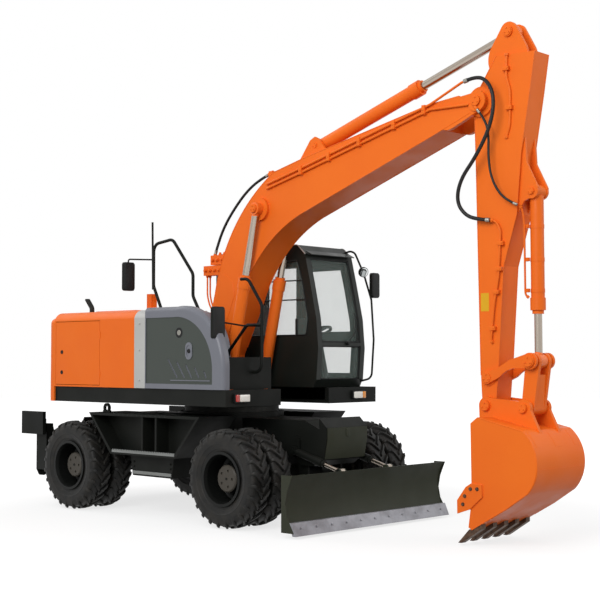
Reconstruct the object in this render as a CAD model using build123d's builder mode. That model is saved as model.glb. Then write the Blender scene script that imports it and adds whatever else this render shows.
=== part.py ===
# A wheeled excavator of the fourteen-tonne class: twin tyres on two axles, a dozer blade in
# front, two hinged stabilisers behind, and a slewing upper part with cab, tank, engine bay,
# counterweight, one-piece boom, arm and bucket.
# All sizes are millimetres. X points forward, Y to the left, Z up. The ground is Z = 0.
# Lengths along X below are counted from the slewing axis, which stands SWING_X from the origin.
import math
import os

from build123d import *

os.makedirs("parts", exist_ok=True)

# Place of the slewing axis, so that the origin lies under the middle of the whole machine
SWING_X = -1010.0

# Running clearances and plate thicknesses
RUN = 0.05        # radial play of a pin in its bore
FACE = 0.5        # side play between an eye and its ears
SHUT = 6.0        # gap round a door or lid
SKIN = 25.0       # thickness of the body panels

# Wheels and axles
TYRE_R = 530.0
TYRE_W = 275.0
TYRE_Y = (807.5, 1127.5)      # middle of the inner and the outer tyre
RIM_R = 272.0
FLANGE_R = 292.0
FRONT_AXLE_X = 1150.0
REAR_AXLE_X = -1520.0
AXLE_Z = 530.0
KINGPIN_Y = 660.0
KINGPIN_R = 32.0

# Chassis
DECK_Z = 1130.0
CHASSIS_Z = 640.0
CHASSIS_HALF = 330.0
SADDLE_Z = 740.0              # underside of the beam over the axles
BEAM_T = 20.0                 # plates of the rear cross beam
BEAM_GAP = 6.0                # and their gap to the stabilisers' legs
RING_Z = (1190.0, 1255.0)
RING_R = (450.0, 560.0)

# Upper frame
PLATFORM_Z = (1290.0, 1320.0)
PANEL_Z = 1470.0
SIDE_Y = 1250.0
SHOULDER_Z = 2265.0
HOOD_Z = 2380.0
TAIL_R = 2300.0
TAIL_X = -1830.0

# Pins of the digging linkage, as (forward, up) from the slewing axis
BOOM_FOOT = (-130.0, 1850.0)
BOOM_TIP = (3730.0, 4355.0)
BOOM_RAM_BASE = (220.0, 1430.0)
BOOM_RAM_EYE = (700.0, 3520.0)
ARM_RAM_BASE = (1450.0, 4190.0)
ARM_RAM_EYE = (4030.0, 5020.0)
BUCKET_RAM_BASE = (4280.0, 3420.0)
ROCKER_PIN = (3790.0, 1617.0)
LINK_TOP = (4287.0, 1780.0)
LINK_FOOT = (4227.0, 1330.0)
BUCKET_PIN = (3800.0, 1345.0)
BOOM_HALF = 200.0
ARM_HALF = 125.0
BOOM_RAM_Y = 285.0
EYE_Y = 152.0                 # inside of the fork at the boom's tip
BUCKET_HALF = 420.0

# Blade and its linkage
BLADE_HALF = 1265.0
BLADE_PIN = (1450.0, 480.0)
BLADE_RAM_BASE = (1400.0, 800.0)
BLADE_RAM_EYE = (2085.0, 610.0)
BLADE_RAM_Y = 390.0

# Stabilisers, as (sideways, up)
LEG_PIN = (1050.0, 420.0)
LEG_RAM_BASE = (330.0, 960.0)
LEG_RAM_EYE = (952.0, 650.0)
LEG_X = (-2330.0, -2120.0)
CHASSIS_REAR = LEG_X[1] + BEAM_GAP + BEAM_T

# Cab
CAB_Y = (390.0, 1220.0)
CAB_WALL = 45.0


def side(y=0.0):
    """Upright plane along the machine: drawn as (forward, up), extruded towards the right."""
    return Plane(origin=(SWING_X, y, 0), x_dir=(1, 0, 0), z_dir=(0, -1, 0))


def front(x=0.0):
    """Upright plane across the machine: drawn as (left, up), extruded forwards."""
    return Plane(origin=(SWING_X + x, 0, 0), x_dir=(0, 1, 0), z_dir=(1, 0, 0))


def level(z=0.0):
    """Flat plane: drawn as (forward, left), extruded upwards."""
    return Plane(origin=(SWING_X, 0, z), x_dir=(1, 0, 0), z_dir=(0, 0, 1))


def place(x, y, z):
    """A point counted from the slewing axis, in the model's own frame."""
    return Vector(SWING_X + x, y, z)


def slab(points, y_from, y_to, mode=Mode.ADD):
    """A plate or block: a side outline, thick from one Y to another."""
    with BuildSketch(side(max(y_from, y_to))) as outline:
        Polygon(*points, align=None)
    extrude(to_extrude=outline.sketch, amount=abs(y_to - y_from), mode=mode)


def slice_x(points, x_from, x_to, mode=Mode.ADD):
    """A block whose outline is drawn across the machine."""
    with BuildSketch(front(min(x_from, x_to))) as outline:
        Polygon(*points, align=None)
    extrude(to_extrude=outline.sketch, amount=abs(x_to - x_from), mode=mode)


def layer(points, z_from, z_to, mode=Mode.ADD):
    """A block whose outline is drawn from above."""
    with BuildSketch(level(min(z_from, z_to))) as outline:
        Polygon(*points, align=None)
    extrude(to_extrude=outline.sketch, amount=abs(z_to - z_from), mode=mode)


def block(x, y, z, mode=Mode.ADD):
    """A rectangular block between pairs of limits."""
    slab([(x[0], z[0]), (x[1], z[0]), (x[1], z[1]), (x[0], z[1])], y[0], y[1], mode)


def boss(centre, radius, y_from, y_to, mode=Mode.ADD):
    """A round boss, pin or bore that runs across the machine."""
    with BuildSketch(side(max(y_from, y_to))) as disc:
        with Locations(centre):
            Circle(radius)
    extrude(to_extrude=disc.sketch, amount=abs(y_to - y_from), mode=mode)


def bar(start, end, radius, mode=Mode.ADD):
    """A round bar between two points."""
    run = end - start
    with BuildSketch(Plane(origin=start, z_dir=run)) as disc:
        Circle(radius)
    extrude(to_extrude=disc.sketch, amount=run.length, mode=mode)


def fitting(end, beyond, length, radius):
    """The straight fitting that a hose's end seats on, in line with the hose's first run."""
    seat = place(*end)
    bar(seat - (place(*beyond) - seat).normalized() * length, seat, radius)


def tube(points, radius, bend, mode=Mode.ADD):
    """A bent tube: straight runs joined by arcs of one radius."""
    with BuildLine() as path:
        FilletPolyline(*[place(*p) for p in points], radius=bend)
    with BuildSketch(Plane(origin=path.line @ 0, z_dir=path.line % 0)) as disc:
        Circle(radius)
    sweep(sections=disc.sketch, path=path.line, mode=mode)


def strap(p, q, r_p, r_q, y_from, y_to, mode=Mode.ADD):
    """A link plate with two round ends."""
    with BuildSketch(side(max(y_from, y_to))) as outline:
        with Locations(p):
            Circle(r_p)
        with Locations(q):
            Circle(r_q)
        make_hull()
    extrude(to_extrude=outline.sketch, amount=abs(y_to - y_from), mode=mode)


def save(piece, node):
    """Labels a finished piece and writes it under its node's name."""
    piece.label = node
    export_step(piece, f"parts/{node}.step")


def sign_y(value, pair):
    """The same pair of Y limits on the left (1) or the right (-1)."""
    return (value * pair[0], value * pair[1])


# Leaf hinges: a pin on the fixed side, set into its edge, and an eye on the moving side
HINGE_PIN = 5.0
HINGE_EYE = 10.0
HINGE_HALF = 30.0


def hinge_post(centre, along):
    """The fixed half of a hinge: a pocket with its pin through it."""
    bar(centre - along * (HINGE_HALF + 3), centre + along * (HINGE_HALF + 3), HINGE_EYE + 2,
        Mode.SUBTRACT)
    bar(centre - along * (HINGE_HALF + 15), centre + along * (HINGE_HALF + 15), HINGE_PIN)


def hinge_eye(centre, along):
    """The moving half of a hinge: an eye that turns on the pin."""
    bar(centre - along * HINGE_HALF, centre + along * HINGE_HALF, HINGE_EYE)
    bar(centre - along * (HINGE_HALF + 20), centre + along * (HINGE_HALF + 20), HINGE_PIN + RUN,
        Mode.SUBTRACT)


# Tyres: flat-sided casings with slanted lugs, drawn about the wheel's own middle. The two halves
# of a tyre are turned half a pitch against each other, so their lugs stagger.
LUGS = 12                     # on each half of a tyre
LUG_H = 30.0
CASING_R = TYRE_R - LUG_H + 8
CASING_FLAT = CASING_R * math.cos(math.pi / LUGS)
LUG_TIP_X = math.sqrt(TYRE_R**2 - (CASING_FLAT + LUG_H - 1)**2)
LUG_TIP = math.atan2(LUG_TIP_X, CASING_FLAT + LUG_H - 1)
BEAD_Y = 107.0
CASING_SECTION = [  # sideways from the middle of the tyre, radius
    (0, CASING_R),
    (TYRE_W / 2 - 10, CASING_R),
    (TYRE_W / 2, 400),
    (BEAD_Y, RIM_R + 2),
]
LUG_OUTLINE = [  # round the tread, sideways from the middle
    (-LUG_TIP_X, 6), (-LUG_TIP_X + 48, 6), (LUG_TIP_X, TYRE_W / 2 - 10),
    (LUG_TIP_X - 58, TYRE_W / 2 - 10),
]


def half_tyre(hand, turn):
    """One half of the casing with its slanted lugs, turned about the axle."""
    with BuildPart() as half:
        for y, radius in CASING_SECTION:
            with BuildSketch(Plane(origin=(0, hand * y, 0), x_dir=(math.cos(turn), 0, math.sin(turn)),
                                   z_dir=(0, 1, 0))):
                RegularPolygon(radius, LUGS)
        loft(ruled=True)
        treads = []
        for lug in range(LUGS):
            turned = turn + (2 * lug + 1) * math.pi / LUGS
            out = Vector(math.cos(turned), 0, math.sin(turned))
            treads.append(Plane(origin=out * (CASING_FLAT - 1), x_dir=(-out.Z, 0, out.X), z_dir=out))
        with BuildSketch(*treads):
            Polygon(*[(x, -hand * y) for x, y in LUG_OUTLINE], align=None)
        extrude(amount=LUG_H)
    return half.part


LUG_DOWN = -math.pi / 2 - LUG_TIP     # the turn that rests one lug's corner on the ground
tyre_halves = [half_tyre(1, LUG_DOWN - math.pi / LUGS), half_tyre(-1, LUG_DOWN)]
with BuildPart() as tyre:
    add(tyre_halves)
    with BuildSketch(Plane(origin=(0, -TYRE_W / 2, 0), z_dir=(0, 1, 0))):
        RegularPolygon((RIM_R + 0.4) / math.cos(math.pi / LUGS), LUGS)
    extrude(amount=TYRE_W, mode=Mode.SUBTRACT)


def wheel_profile(hub_in):
    """Half-section of the twin rims and their hub, as (sideways, radius)."""
    inner, outer = TYRE_Y
    half = TYRE_W / 2 - 8
    gap = 14.0
    return [
        (inner - half, FLANGE_R), (inner - half, RIM_R - 22), (inner + half - 60, RIM_R - 22),
        (inner + half - 10, 232), (inner + half - 10, 175), (hub_in + 130, 160), (hub_in, 130),
        (hub_in, 78), (hub_in + 60, 78), (hub_in + 60, 0.0),
        (HUB_FACE, 0.0), (HUB_FACE, 132), (HUB_FACE - 12, 145), (HUB_FACE - 85, 152),
        (DISC_Y - 5, 158), (DISC_Y - 5, 168), (DISC_Y, 170), (DISC_Y, 212),
        (1020, 244), (outer + half - 40, 250), (outer + half, 262), (outer + half, FLANGE_R),
        (outer + half - gap, FLANGE_R), (outer + half - gap, RIM_R), (outer - half + gap, RIM_R),
        (outer - half + gap, FLANGE_R), (outer - half, FLANGE_R), (outer - half, 244),
        (inner + half, 244), (inner + half, FLANGE_R), (inner + half - gap, FLANGE_R),
        (inner + half - gap, RIM_R), (inner - half + gap, RIM_R), (inner - half + gap, FLANGE_R),
    ]


def rims(hand, hub_in):
    """Both rims of a twin wheel with their hub and nuts, drawn about the axle's line."""
    with BuildPart() as wheel:
        with BuildSketch(Plane(origin=(0, 0, 0), x_dir=(0, hand, 0), z_dir=(hand, 0, 0))) as half_section:
            Polygon(*wheel_profile(hub_in), align=None)
        revolve(half_section.sketch, axis=Axis((0, 0, 0), (0, 1, 0)))
        for nut in range(NUTS):
            turned = 2 * math.pi * nut / NUTS
            with BuildSketch(Plane(origin=(NUT_R * math.cos(turned), hand * (DISC_Y - 1),
                                           NUT_R * math.sin(turned)), z_dir=(0, hand, 0))):
                RegularPolygon(15, 6)
            extrude(amount=24)
        for hole in range(HUB_HOLES):
            turned = 2 * math.pi * hole / HUB_HOLES
            with BuildSketch(Plane(origin=(HUB_HOLE_AT * math.cos(turned), hand * (HUB_FACE - 15),
                                           HUB_HOLE_AT * math.sin(turned)), z_dir=(0, hand, 0))):
                Circle(HUB_HOLE_R)
            extrude(amount=20, mode=Mode.SUBTRACT)
    return wheel.part


HUB_FACE = 1170.0             # outside of the hub's cap, and of the dished disc behind it
DISC_Y = 1000.0
NUTS = 10
NUT_R = 190.0
HUB_HOLES = 5
HUB_HOLE_AT = 88.0
HUB_HOLE_R = 15.0
WHEELS = [  # name, axle's X, hand, inner end of the hub
    ("fl", FRONT_AXLE_X, 1, 745.0),
    ("fr", FRONT_AXLE_X, -1, 745.0),
    ("rl", REAR_AXLE_X, 1, 700.0),
    ("rr", REAR_AXLE_X, -1, 700.0),
]
for name, axle_x, hand, hub_in in WHEELS:
    twins = [tyre.part.moved(Location(place(axle_x, hand * y, AXLE_Z))) for y in TYRE_Y]
    save(Compound(children=twins), f"tyres_{name}")
    save(rims(hand, hub_in).moved(Location(place(axle_x, 0, AXLE_Z))), f"rims_{name}")

# Knuckles: a kingpin eye, a spindle into the hub and a steering arm behind it
EYE_HALF = 120.0
for name, hand in (("left", 1), ("right", -1)):
    with BuildPart() as knuckle:
        with BuildSketch(level(AXLE_Z - EYE_HALF)):
            with Locations((FRONT_AXLE_X, hand * KINGPIN_Y)):
                Circle(62)
        extrude(amount=2 * EYE_HALF)
        bar(place(FRONT_AXLE_X, hand * KINGPIN_Y, AXLE_Z),
            place(FRONT_AXLE_X, hand * 740, AXLE_Z), 95)
        bar(place(FRONT_AXLE_X, hand * 740, AXLE_Z),
            place(FRONT_AXLE_X, hand * 804.5, AXLE_Z), 78 - RUN)
        block((FRONT_AXLE_X - 165, FRONT_AXLE_X - 20), sign_y(hand, (640, 690)),
              (AXLE_Z - 100, AXLE_Z - 65))
        with BuildSketch(level(AXLE_Z - EYE_HALF)):
            with Locations((FRONT_AXLE_X, hand * KINGPIN_Y)):
                Circle(KINGPIN_R)
        extrude(amount=2 * EYE_HALF, mode=Mode.SUBTRACT)
    save(knuckle.part, f"knuckle_{name}")

# Front axle: a beam with a centre housing, and a fork with its kingpin at each end
with BuildPart() as front_axle:
    bar(place(FRONT_AXLE_X, -560, AXLE_Z), place(FRONT_AXLE_X, 560, AXLE_Z), 85)
    bar(place(FRONT_AXLE_X, -150, AXLE_Z), place(FRONT_AXLE_X, 150, AXLE_Z), 175)
    block((FRONT_AXLE_X - 110, FRONT_AXLE_X + 110), (-110, 110), (AXLE_Z + 40, SADDLE_Z))
    for hand in (1, -1):
        for z_from, z_to in ((AXLE_Z + EYE_HALF + FACE, AXLE_Z + EYE_HALF + 30),
                             (AXLE_Z - EYE_HALF - 30, AXLE_Z - EYE_HALF - FACE)):
            with BuildSketch(level(z_from)):
                with Locations((FRONT_AXLE_X, hand * KINGPIN_Y)):
                    Circle(50)
                with Locations((FRONT_AXLE_X, hand * 540)):
                    Circle(70)
                make_hull()
            extrude(amount=z_to - z_from)
        bar(place(FRONT_AXLE_X, hand * 540, AXLE_Z - EYE_HALF - 30),
            place(FRONT_AXLE_X, hand * 540, AXLE_Z + EYE_HALF + 30), 50)
        bar(place(FRONT_AXLE_X, hand * KINGPIN_Y, AXLE_Z - EYE_HALF - 30),
            place(FRONT_AXLE_X, hand * KINGPIN_Y, AXLE_Z + EYE_HALF + 30), KINGPIN_R - RUN)
save(front_axle.part, "front_axle")

# Rear axle: rigid, with hub ends that carry the twin wheels
with BuildPart() as rear_axle:
    bar(place(REAR_AXLE_X, -640, AXLE_Z), place(REAR_AXLE_X, 640, AXLE_Z), 90)
    bar(place(REAR_AXLE_X, -170, AXLE_Z), place(REAR_AXLE_X, 170, AXLE_Z), 185)
    for hand in (1, -1):
        block((REAR_AXLE_X - 100, REAR_AXLE_X + 100), sign_y(hand, (230, 320)),
              (AXLE_Z + 40, SADDLE_Z))
        bar(place(REAR_AXLE_X, hand * 640, AXLE_Z), place(REAR_AXLE_X, hand * 690, AXLE_Z), 120)
        bar(place(REAR_AXLE_X, hand * 690, AXLE_Z),
            place(REAR_AXLE_X, hand * 759.5, AXLE_Z), 78 - RUN)
save(rear_axle.part, "rear_axle")

# Driveline: gearbox ahead of the rear axle and a shaft to the front axle
with BuildPart() as driveline:
    block((REAR_AXLE_X + 185, REAR_AXLE_X + 560), (-150, 150), (400, CHASSIS_Z - 1))
    bar(place(REAR_AXLE_X + 560, 0, AXLE_Z), place(FRONT_AXLE_X - 175, 0, AXLE_Z), 38)
    for x in (REAR_AXLE_X + 570, FRONT_AXLE_X - 235):
        bar(place(x, 0, AXLE_Z), place(x + 50, 0, AXLE_Z), 62)
save(driveline.part, "driveline")

# Chassis frame: welded beam, turntable tub, brackets for blade and boxes
with BuildPart() as chassis:
    slab([(CHASSIS_REAR, SADDLE_Z), (REAR_AXLE_X + 250, SADDLE_Z), (REAR_AXLE_X + 320, CHASSIS_Z),
          (FRONT_AXLE_X - 290, CHASSIS_Z), (FRONT_AXLE_X - 220, SADDLE_Z),
          (FRONT_AXLE_X + 220, SADDLE_Z), (FRONT_AXLE_X + 290, CHASSIS_Z), (1640, CHASSIS_Z),
          (1720, 700), (1720, 1040), (1500, DECK_Z), (-1700, DECK_Z), (CHASSIS_REAR, 1000)],
         -CHASSIS_HALF, CHASSIS_HALF)
    with BuildSketch(level(900)):
        with Locations((0, 0)):
            Circle(620)
    extrude(amount=RING_Z[0] - 900)
    for hand in (1, -1):
        block((-620, -460), sign_y(hand, (CHASSIS_HALF, 640)), (800, 1060))
        block((120, 280), sign_y(hand, (CHASSIS_HALF, 640)), (800, 1060))
        # ears of the blade's arm and of its ram, with their pins
        strap(BLADE_PIN, (1430, 660), 62, 70, *sign_y(hand, (255, 283)))
        boss(BLADE_PIN, 32 - RUN, *sign_y(hand, (255, 375)))
        strap(BLADE_RAM_BASE, (1400, 900), 50, 50, *sign_y(hand, (330, 358)))
        boss(BLADE_RAM_BASE, 24 - RUN, *sign_y(hand, (350, 428)))
save(chassis.part, "chassis_frame")

# Slewing ring: the fixed race below, bolted on the tub
with BuildPart() as slew_ring:
    with BuildSketch(level(RING_Z[0])):
        with Locations((0, 0)):
            Circle(RING_R[1])
            Circle(RING_R[0], mode=Mode.SUBTRACT)
    extrude(amount=RING_Z[1] - RING_Z[0])
save(slew_ring.part, "slew_ring")

# Step boxes: a trapezoid frame of plate round a recessed tool locker, on each side
BOX_TOP = [(-1200, 1170), (750, 1170)]
BOX_STEP = [(350, 700), (-790, 700)]
BOX_Y = (640.0, 1200.0)
LOCKER_Y = 1000.0
with BuildPart() as lockers:
    for hand in (1, -1):
        slab(BOX_TOP + BOX_STEP, *sign_y(hand, BOX_Y))
        slab([(-1135, 1140), (690, 1140), (330, 730), (-765, 730)],
             *sign_y(hand, (LOCKER_Y, BOX_Y[1] + 1)), mode=Mode.SUBTRACT)
        for x in (-240, 0):
            block((x - 15, x + 15), sign_y(hand, (LOCKER_Y - 1, BOX_Y[1] - 20)), (715, 1155))
        slab([(-560, 701), (200, 701), (160, 460), (-520, 460)], *sign_y(hand, (640, 1080)))
        # lashing eye on the rear of the top plate
        with BuildSketch(side(hand * 1085 + 12.5)) as eye:
            with Locations((-1000, 1221)):
                Circle(58)
            with Locations((-1000, 1180)):
                Rectangle(130, 30)
            with Locations((-1000, 1221)):
                Circle(29, mode=Mode.SUBTRACT)
        extrude(to_extrude=eye.sketch, amount=25)
    # tool locker ahead of the chassis, between the blade's arms
    slab([(1720, 720), (1790, 720), (1830, 930), (1830, 1060), (1720, 1160)], -335, 335)
save(lockers.part, "lockers")

# Rear cross beam: two plates with the legs' pins between them
BEAM_OUT = [(-1110, 380), (-1050, 350), (1050, 350), (1110, 380), (1130, 470), (560, 700),
            (400, 1050), (-400, 1050), (-560, 700), (-1130, 470)]
with BuildPart() as rear_beam:
    for x in (LEG_X[0] - BEAM_GAP - BEAM_T, LEG_X[1] + BEAM_GAP):
        slice_x(BEAM_OUT, x, x + BEAM_T)
    block((LEG_X[0] - BEAM_GAP, LEG_X[1] + BEAM_GAP), (-250, 250), (640, 860))
    for hand in (1, -1):
        bar(place(LEG_X[0] - BEAM_GAP, hand * LEG_PIN[0], LEG_PIN[1]),
            place(LEG_X[1] + BEAM_GAP, hand * LEG_PIN[0], LEG_PIN[1]), 32 - RUN)
        bar(place(LEG_X[0] - BEAM_GAP, hand * LEG_RAM_BASE[0], LEG_RAM_BASE[1]),
            place(LEG_X[1] + BEAM_GAP, hand * LEG_RAM_BASE[0], LEG_RAM_BASE[1]), 24 - RUN)
save(rear_beam.part, "rear_beam")

# Stabiliser legs, folded up, with the foot plate at the top facing outwards
LEG_WEB = 18.0
LEG_SIDE = [(1150, 430), (1150, 1000), (1060, 1000), (1000, 800), (890, 690), (890, 620), (985, 400),
            (1040, 345), (1110, 355)]
for name, hand in (("left", 1), ("right", -1)):
    with BuildPart() as leg:
        outline = [(hand * y, z) for y, z in LEG_SIDE]
        slice_x(outline, LEG_X[0], LEG_X[0] + LEG_WEB)
        slice_x(outline, LEG_X[1] - LEG_WEB, LEG_X[1])
        block(LEG_X, sign_y(hand, (1134, 1150)), (430, 1000))
        block(LEG_X, sign_y(hand, (1050, 1150)), (940, 1000))
        block((-2530, -2080), sign_y(hand, (1190, 1235)), (870, 1150))
        block((LEG_X[0] + 20, LEG_X[1] - 20), sign_y(hand, (1140, 1195)), (900, 1060))
        for x_from, x_to in ((LEG_X[0], LEG_X[0] + LEG_WEB), (LEG_X[1] - LEG_WEB, LEG_X[1])):
            bar(place(x_from, hand * LEG_PIN[0], LEG_PIN[1]),
                place(x_to, hand * LEG_PIN[0], LEG_PIN[1]), 32, Mode.SUBTRACT)
    save(leg.part, f"stabiliser_{name}")


RAM_HEAD = 120.0
GLAND = 35.0


def ram_barrel(base, eye, y, radius, length, rod_r, lug, lug_half, pin_r, dead):
    """A cylinder's barrel in an upright plane along the machine, bored for its rod."""
    aim = Vector(eye[0] - base[0], 0, eye[1] - base[1]).normalized()
    foot = place(base[0], y, base[1])
    boss(base, lug, y - lug_half, y + lug_half)
    bar(foot + aim * lug * 0.6, foot + aim * lug * 1.5, min(radius, lug_half))
    bar(foot + aim * lug * 1.4, foot + aim * (length - GLAND), radius)
    bar(foot + aim * (length - GLAND - RAM_HEAD), foot + aim * (length - GLAND), radius * 1.13)
    bar(foot + aim * (length - GLAND - 1), foot + aim * length, (radius + rod_r) / 2 + 4)
    bar(foot + aim * dead, foot + aim * (length + 1), rod_r + RUN, Mode.SUBTRACT)
    boss(base, pin_r, y - lug_half, y + lug_half, Mode.SUBTRACT)


def ram_rod(base, eye, y, start, rod_r, lug, lug_half):
    """A cylinder's rod with its eye, from where it starts inside the barrel."""
    aim = Vector(eye[0] - base[0], 0, eye[1] - base[1]).normalized()
    foot = place(base[0], y, base[1])
    bar(foot + aim * start, place(eye[0], y, eye[1]) - aim * lug * 0.6, rod_r)
    boss(eye, lug, y - lug_half, y + lug_half)


# The stabilisers' rams lie across the machine, between the legs' webs
LEG_RAM_LENGTH = 560.0
LEG_MID_X = (LEG_X[0] + LEG_X[1]) / 2
ACROSS = Vector(1, 0, 0)
with BuildPart() as leg_barrels:
    for hand in (1, -1):
        base = place(LEG_MID_X, hand * LEG_RAM_BASE[0], LEG_RAM_BASE[1])
        aim = (place(LEG_MID_X, hand * LEG_RAM_EYE[0], LEG_RAM_EYE[1]) - base).normalized()
        bar(base - ACROSS * 40, base + ACROSS * 40, 45)
        bar(base + aim * 20, base + aim * LEG_RAM_LENGTH, 42)
        bar(base + aim * 75, base + aim * (LEG_RAM_LENGTH + 1), 24 + RUN, Mode.SUBTRACT)
        bar(base - ACROSS * 45, base + ACROSS * 45, 24, Mode.SUBTRACT)
save(leg_barrels.part, "leg_ram_barrels")
for name, hand in (("left", 1), ("right", -1)):
    with BuildPart() as rod:
        base = place(LEG_MID_X, hand * LEG_RAM_BASE[0], LEG_RAM_BASE[1])
        eye = place(LEG_MID_X, hand * LEG_RAM_EYE[0], LEG_RAM_EYE[1])
        aim = (eye - base).normalized()
        bar(base + aim * 85, eye - aim * 20, 24)
        bar(eye - ACROSS * 60, eye + ACROSS * 60, 38)
    save(rod.part, f"leg_ram_rod_{name}")

# Blade: a curved mouldboard with end plates, a worn cutting edge and two arms
BLADE_T = 16.0
STIFFENER_IN = 85.0               # the box stiffener ends this far in from the blade's ends
BLADE_FACE = [(2205, 630), (2110, 340), (2235, 55)]
with BuildPart() as blade:
    with BuildSketch(side(BLADE_HALF)) as section:
        with BuildLine():
            ThreePointArc(*BLADE_FACE)
            Line(BLADE_FACE[2], (BLADE_FACE[2][0] - 22, 55))
            ThreePointArc((BLADE_FACE[2][0] - 22, 55), (2110 - BLADE_T, 340),
                          (2205 - BLADE_T, 630))
            Line((2205 - BLADE_T, 630), BLADE_FACE[0])
        make_face()
    extrude(to_extrude=section.sketch, amount=2 * BLADE_HALF)
    # box stiffener along the back
    slab([(2096, 420), (2010, 400), (2010, 230), (2106, 200)], STIFFENER_IN - BLADE_HALF,
         BLADE_HALF - STIFFENER_IN)
    for hand in (1, -1):
        slab([(2205, 630), (2055, 630), (2055, 55), (2235, 55), (2135, 220), (2110, 340),
              (2135, 470)], *sign_y(hand, (BLADE_HALF - 14, BLADE_HALF)))
        strap(BLADE_PIN, (2040, 310), 60, 58, *sign_y(hand, (290, 365)))
        boss(BLADE_PIN, 32, *sign_y(hand, (280, 375)), mode=Mode.SUBTRACT)
        for y_from in (BLADE_RAM_Y - 48, BLADE_RAM_Y + 32):
            strap(BLADE_RAM_EYE, (2080, 470), 36, 40, *sign_y(hand, (y_from, y_from + 16)))
save(blade.part, "blade")

with BuildPart() as edge:
    slab([(2213, 30), (2258, 30), (2200, 160), (2160, 160)], -BLADE_HALF, BLADE_HALF)
    add(blade.part, mode=Mode.SUBTRACT)
save(edge.part, "blade_edge")

BLADE_RAM_LENGTH = 470.0
with BuildPart() as blade_barrels:
    for hand in (1, -1):
        ram_barrel(BLADE_RAM_BASE, BLADE_RAM_EYE, hand * BLADE_RAM_Y, 40, BLADE_RAM_LENGTH, 22, 44,
                   30, 24, 70)
save(blade_barrels.part, "blade_ram_barrels")
with BuildPart() as blade_rods:
    for hand in (1, -1):
        ram_rod(BLADE_RAM_BASE, BLADE_RAM_EYE, hand * BLADE_RAM_Y, 330, 22, 36, 30)
save(blade_rods.part, "blade_ram_rods")

# Platform: deck plate, side channels, front cross member, boom-foot webs and ram ears
PLATFORM_OUT = [(-1780, -1150), (1200, -1150), (1200, -395), (420, -395), (420, 395), (1200, 395),
                (1200, 1150), (-1780, 1150)]
WEB_SIDE = [(-790, 1319), (110, 1319), (100, 1500), (30, 1900), (-60, 1990), (-200, 1990),
            (-290, 1900), (-640, 1500)]
WEB_Y = (BOOM_HALF + 5, BOOM_HALF + 42)
with BuildPart() as platform:
    layer(PLATFORM_OUT, *PLATFORM_Z)
    with BuildSketch(level(RING_Z[1] + FACE)):
        with Locations((0, 0)):
            Circle(RING_R[1] + 15)
    extrude(amount=PLATFORM_Z[0] - RING_Z[1])
    for hand in (1, -1):
        block((TAIL_X, 1200), sign_y(hand, (1130, SIDE_Y - 20)), (PLATFORM_Z[0], PANEL_Z))
        block((1140, 1200), sign_y(hand, (395, 1130)), (PLATFORM_Z[0], PANEL_Z))
        slab(WEB_SIDE, *sign_y(hand, WEB_Y))
        boss(BOOM_FOOT, 130, *sign_y(hand, (WEB_Y[0], WEB_Y[1] + 18)))
        boss(BOOM_FOOT, 50 - RUN, *sign_y(hand, (0, WEB_Y[1] + 30)))
        for y_from in (BOOM_RAM_Y - 70, BOOM_RAM_Y + 35):
            strap(BOOM_RAM_BASE, (200, 1360), 75, 90, *sign_y(hand, (y_from, y_from + 34)))
        boss(BOOM_RAM_BASE, 40 - RUN, *sign_y(hand, (BOOM_RAM_Y - 40, BOOM_RAM_Y + 75)))
    layer([(-1200, -BOOM_HALF - 5), (60, -BOOM_HALF - 5), (60, BOOM_HALF + 5), (-1200, BOOM_HALF + 5)],
          PLATFORM_Z[1] - 1, PLATFORM_Z[1] + 20)
save(platform.part, "platform")

# Counterweight: tail on a circle about the slewing axis
with BuildPart() as counterweight:
    tail_side = -math.sqrt(TAIL_R**2 - SIDE_Y**2)
    with BuildSketch(level(PLATFORM_Z[0])) as plan:
        with BuildLine():
            Line((TAIL_X, -SIDE_Y), (tail_side, -SIDE_Y))
            ThreePointArc((tail_side, -SIDE_Y), (-TAIL_R, 0), (tail_side, SIDE_Y))
            Polyline((tail_side, SIDE_Y), (TAIL_X, SIDE_Y), (TAIL_X, -SIDE_Y))
        make_face()
        corners = plan.vertices().sort_by(Axis.X)[0:2]
        fillet(corners, 120)
    extrude(to_extrude=plan.sketch, amount=2300 - PLATFORM_Z[0])
    rim_edges = counterweight.faces().sort_by(Axis.Z)[-1].edges()
    fillet([e for e in rim_edges if e.center().X < SWING_X + TAIL_X - 20], 70)
save(counterweight.part, "counterweight")

# Bodywork: an arch of sheet over the engine, as (sideways, up), mirrored about the middle
def arch(inset, foot):
    """Half-outline of the bodywork, a panel thickness in from the outside."""
    return (SIDE_Y - inset, foot), (SIDE_Y - inset, SHOULDER_Z), (SIDE_Y - 130, HOOD_Z - 20 - inset)


def arch_face(inset, foot, left=True):
    """The closed outline of the arch, or of its right half up to the middle."""
    side_foot, shoulder, top = arch(inset, foot)
    mid = (SIDE_Y - 38 - inset * 0.8, HOOD_Z - 52 - inset * 0.8)
    crown = (0, HOOD_Z - inset)
    with BuildSketch(front(0)) as outline:
        with BuildLine():
            Line((-side_foot[0], foot), (-shoulder[0], shoulder[1]))
            ThreePointArc((-shoulder[0], shoulder[1]), (-mid[0], mid[1]), (-top[0], top[1]))
            if left:
                Polyline((-top[0], top[1]), crown, top)
                ThreePointArc(top, mid, shoulder)
                Polyline(shoulder, side_foot, (-side_foot[0], foot))
            else:
                Polyline((-top[0], top[1]), (-BAY_Y, top[1] + 10), (-BAY_Y, foot),
                         (-side_foot[0], foot))
        make_face()
    return outline.sketch


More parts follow.
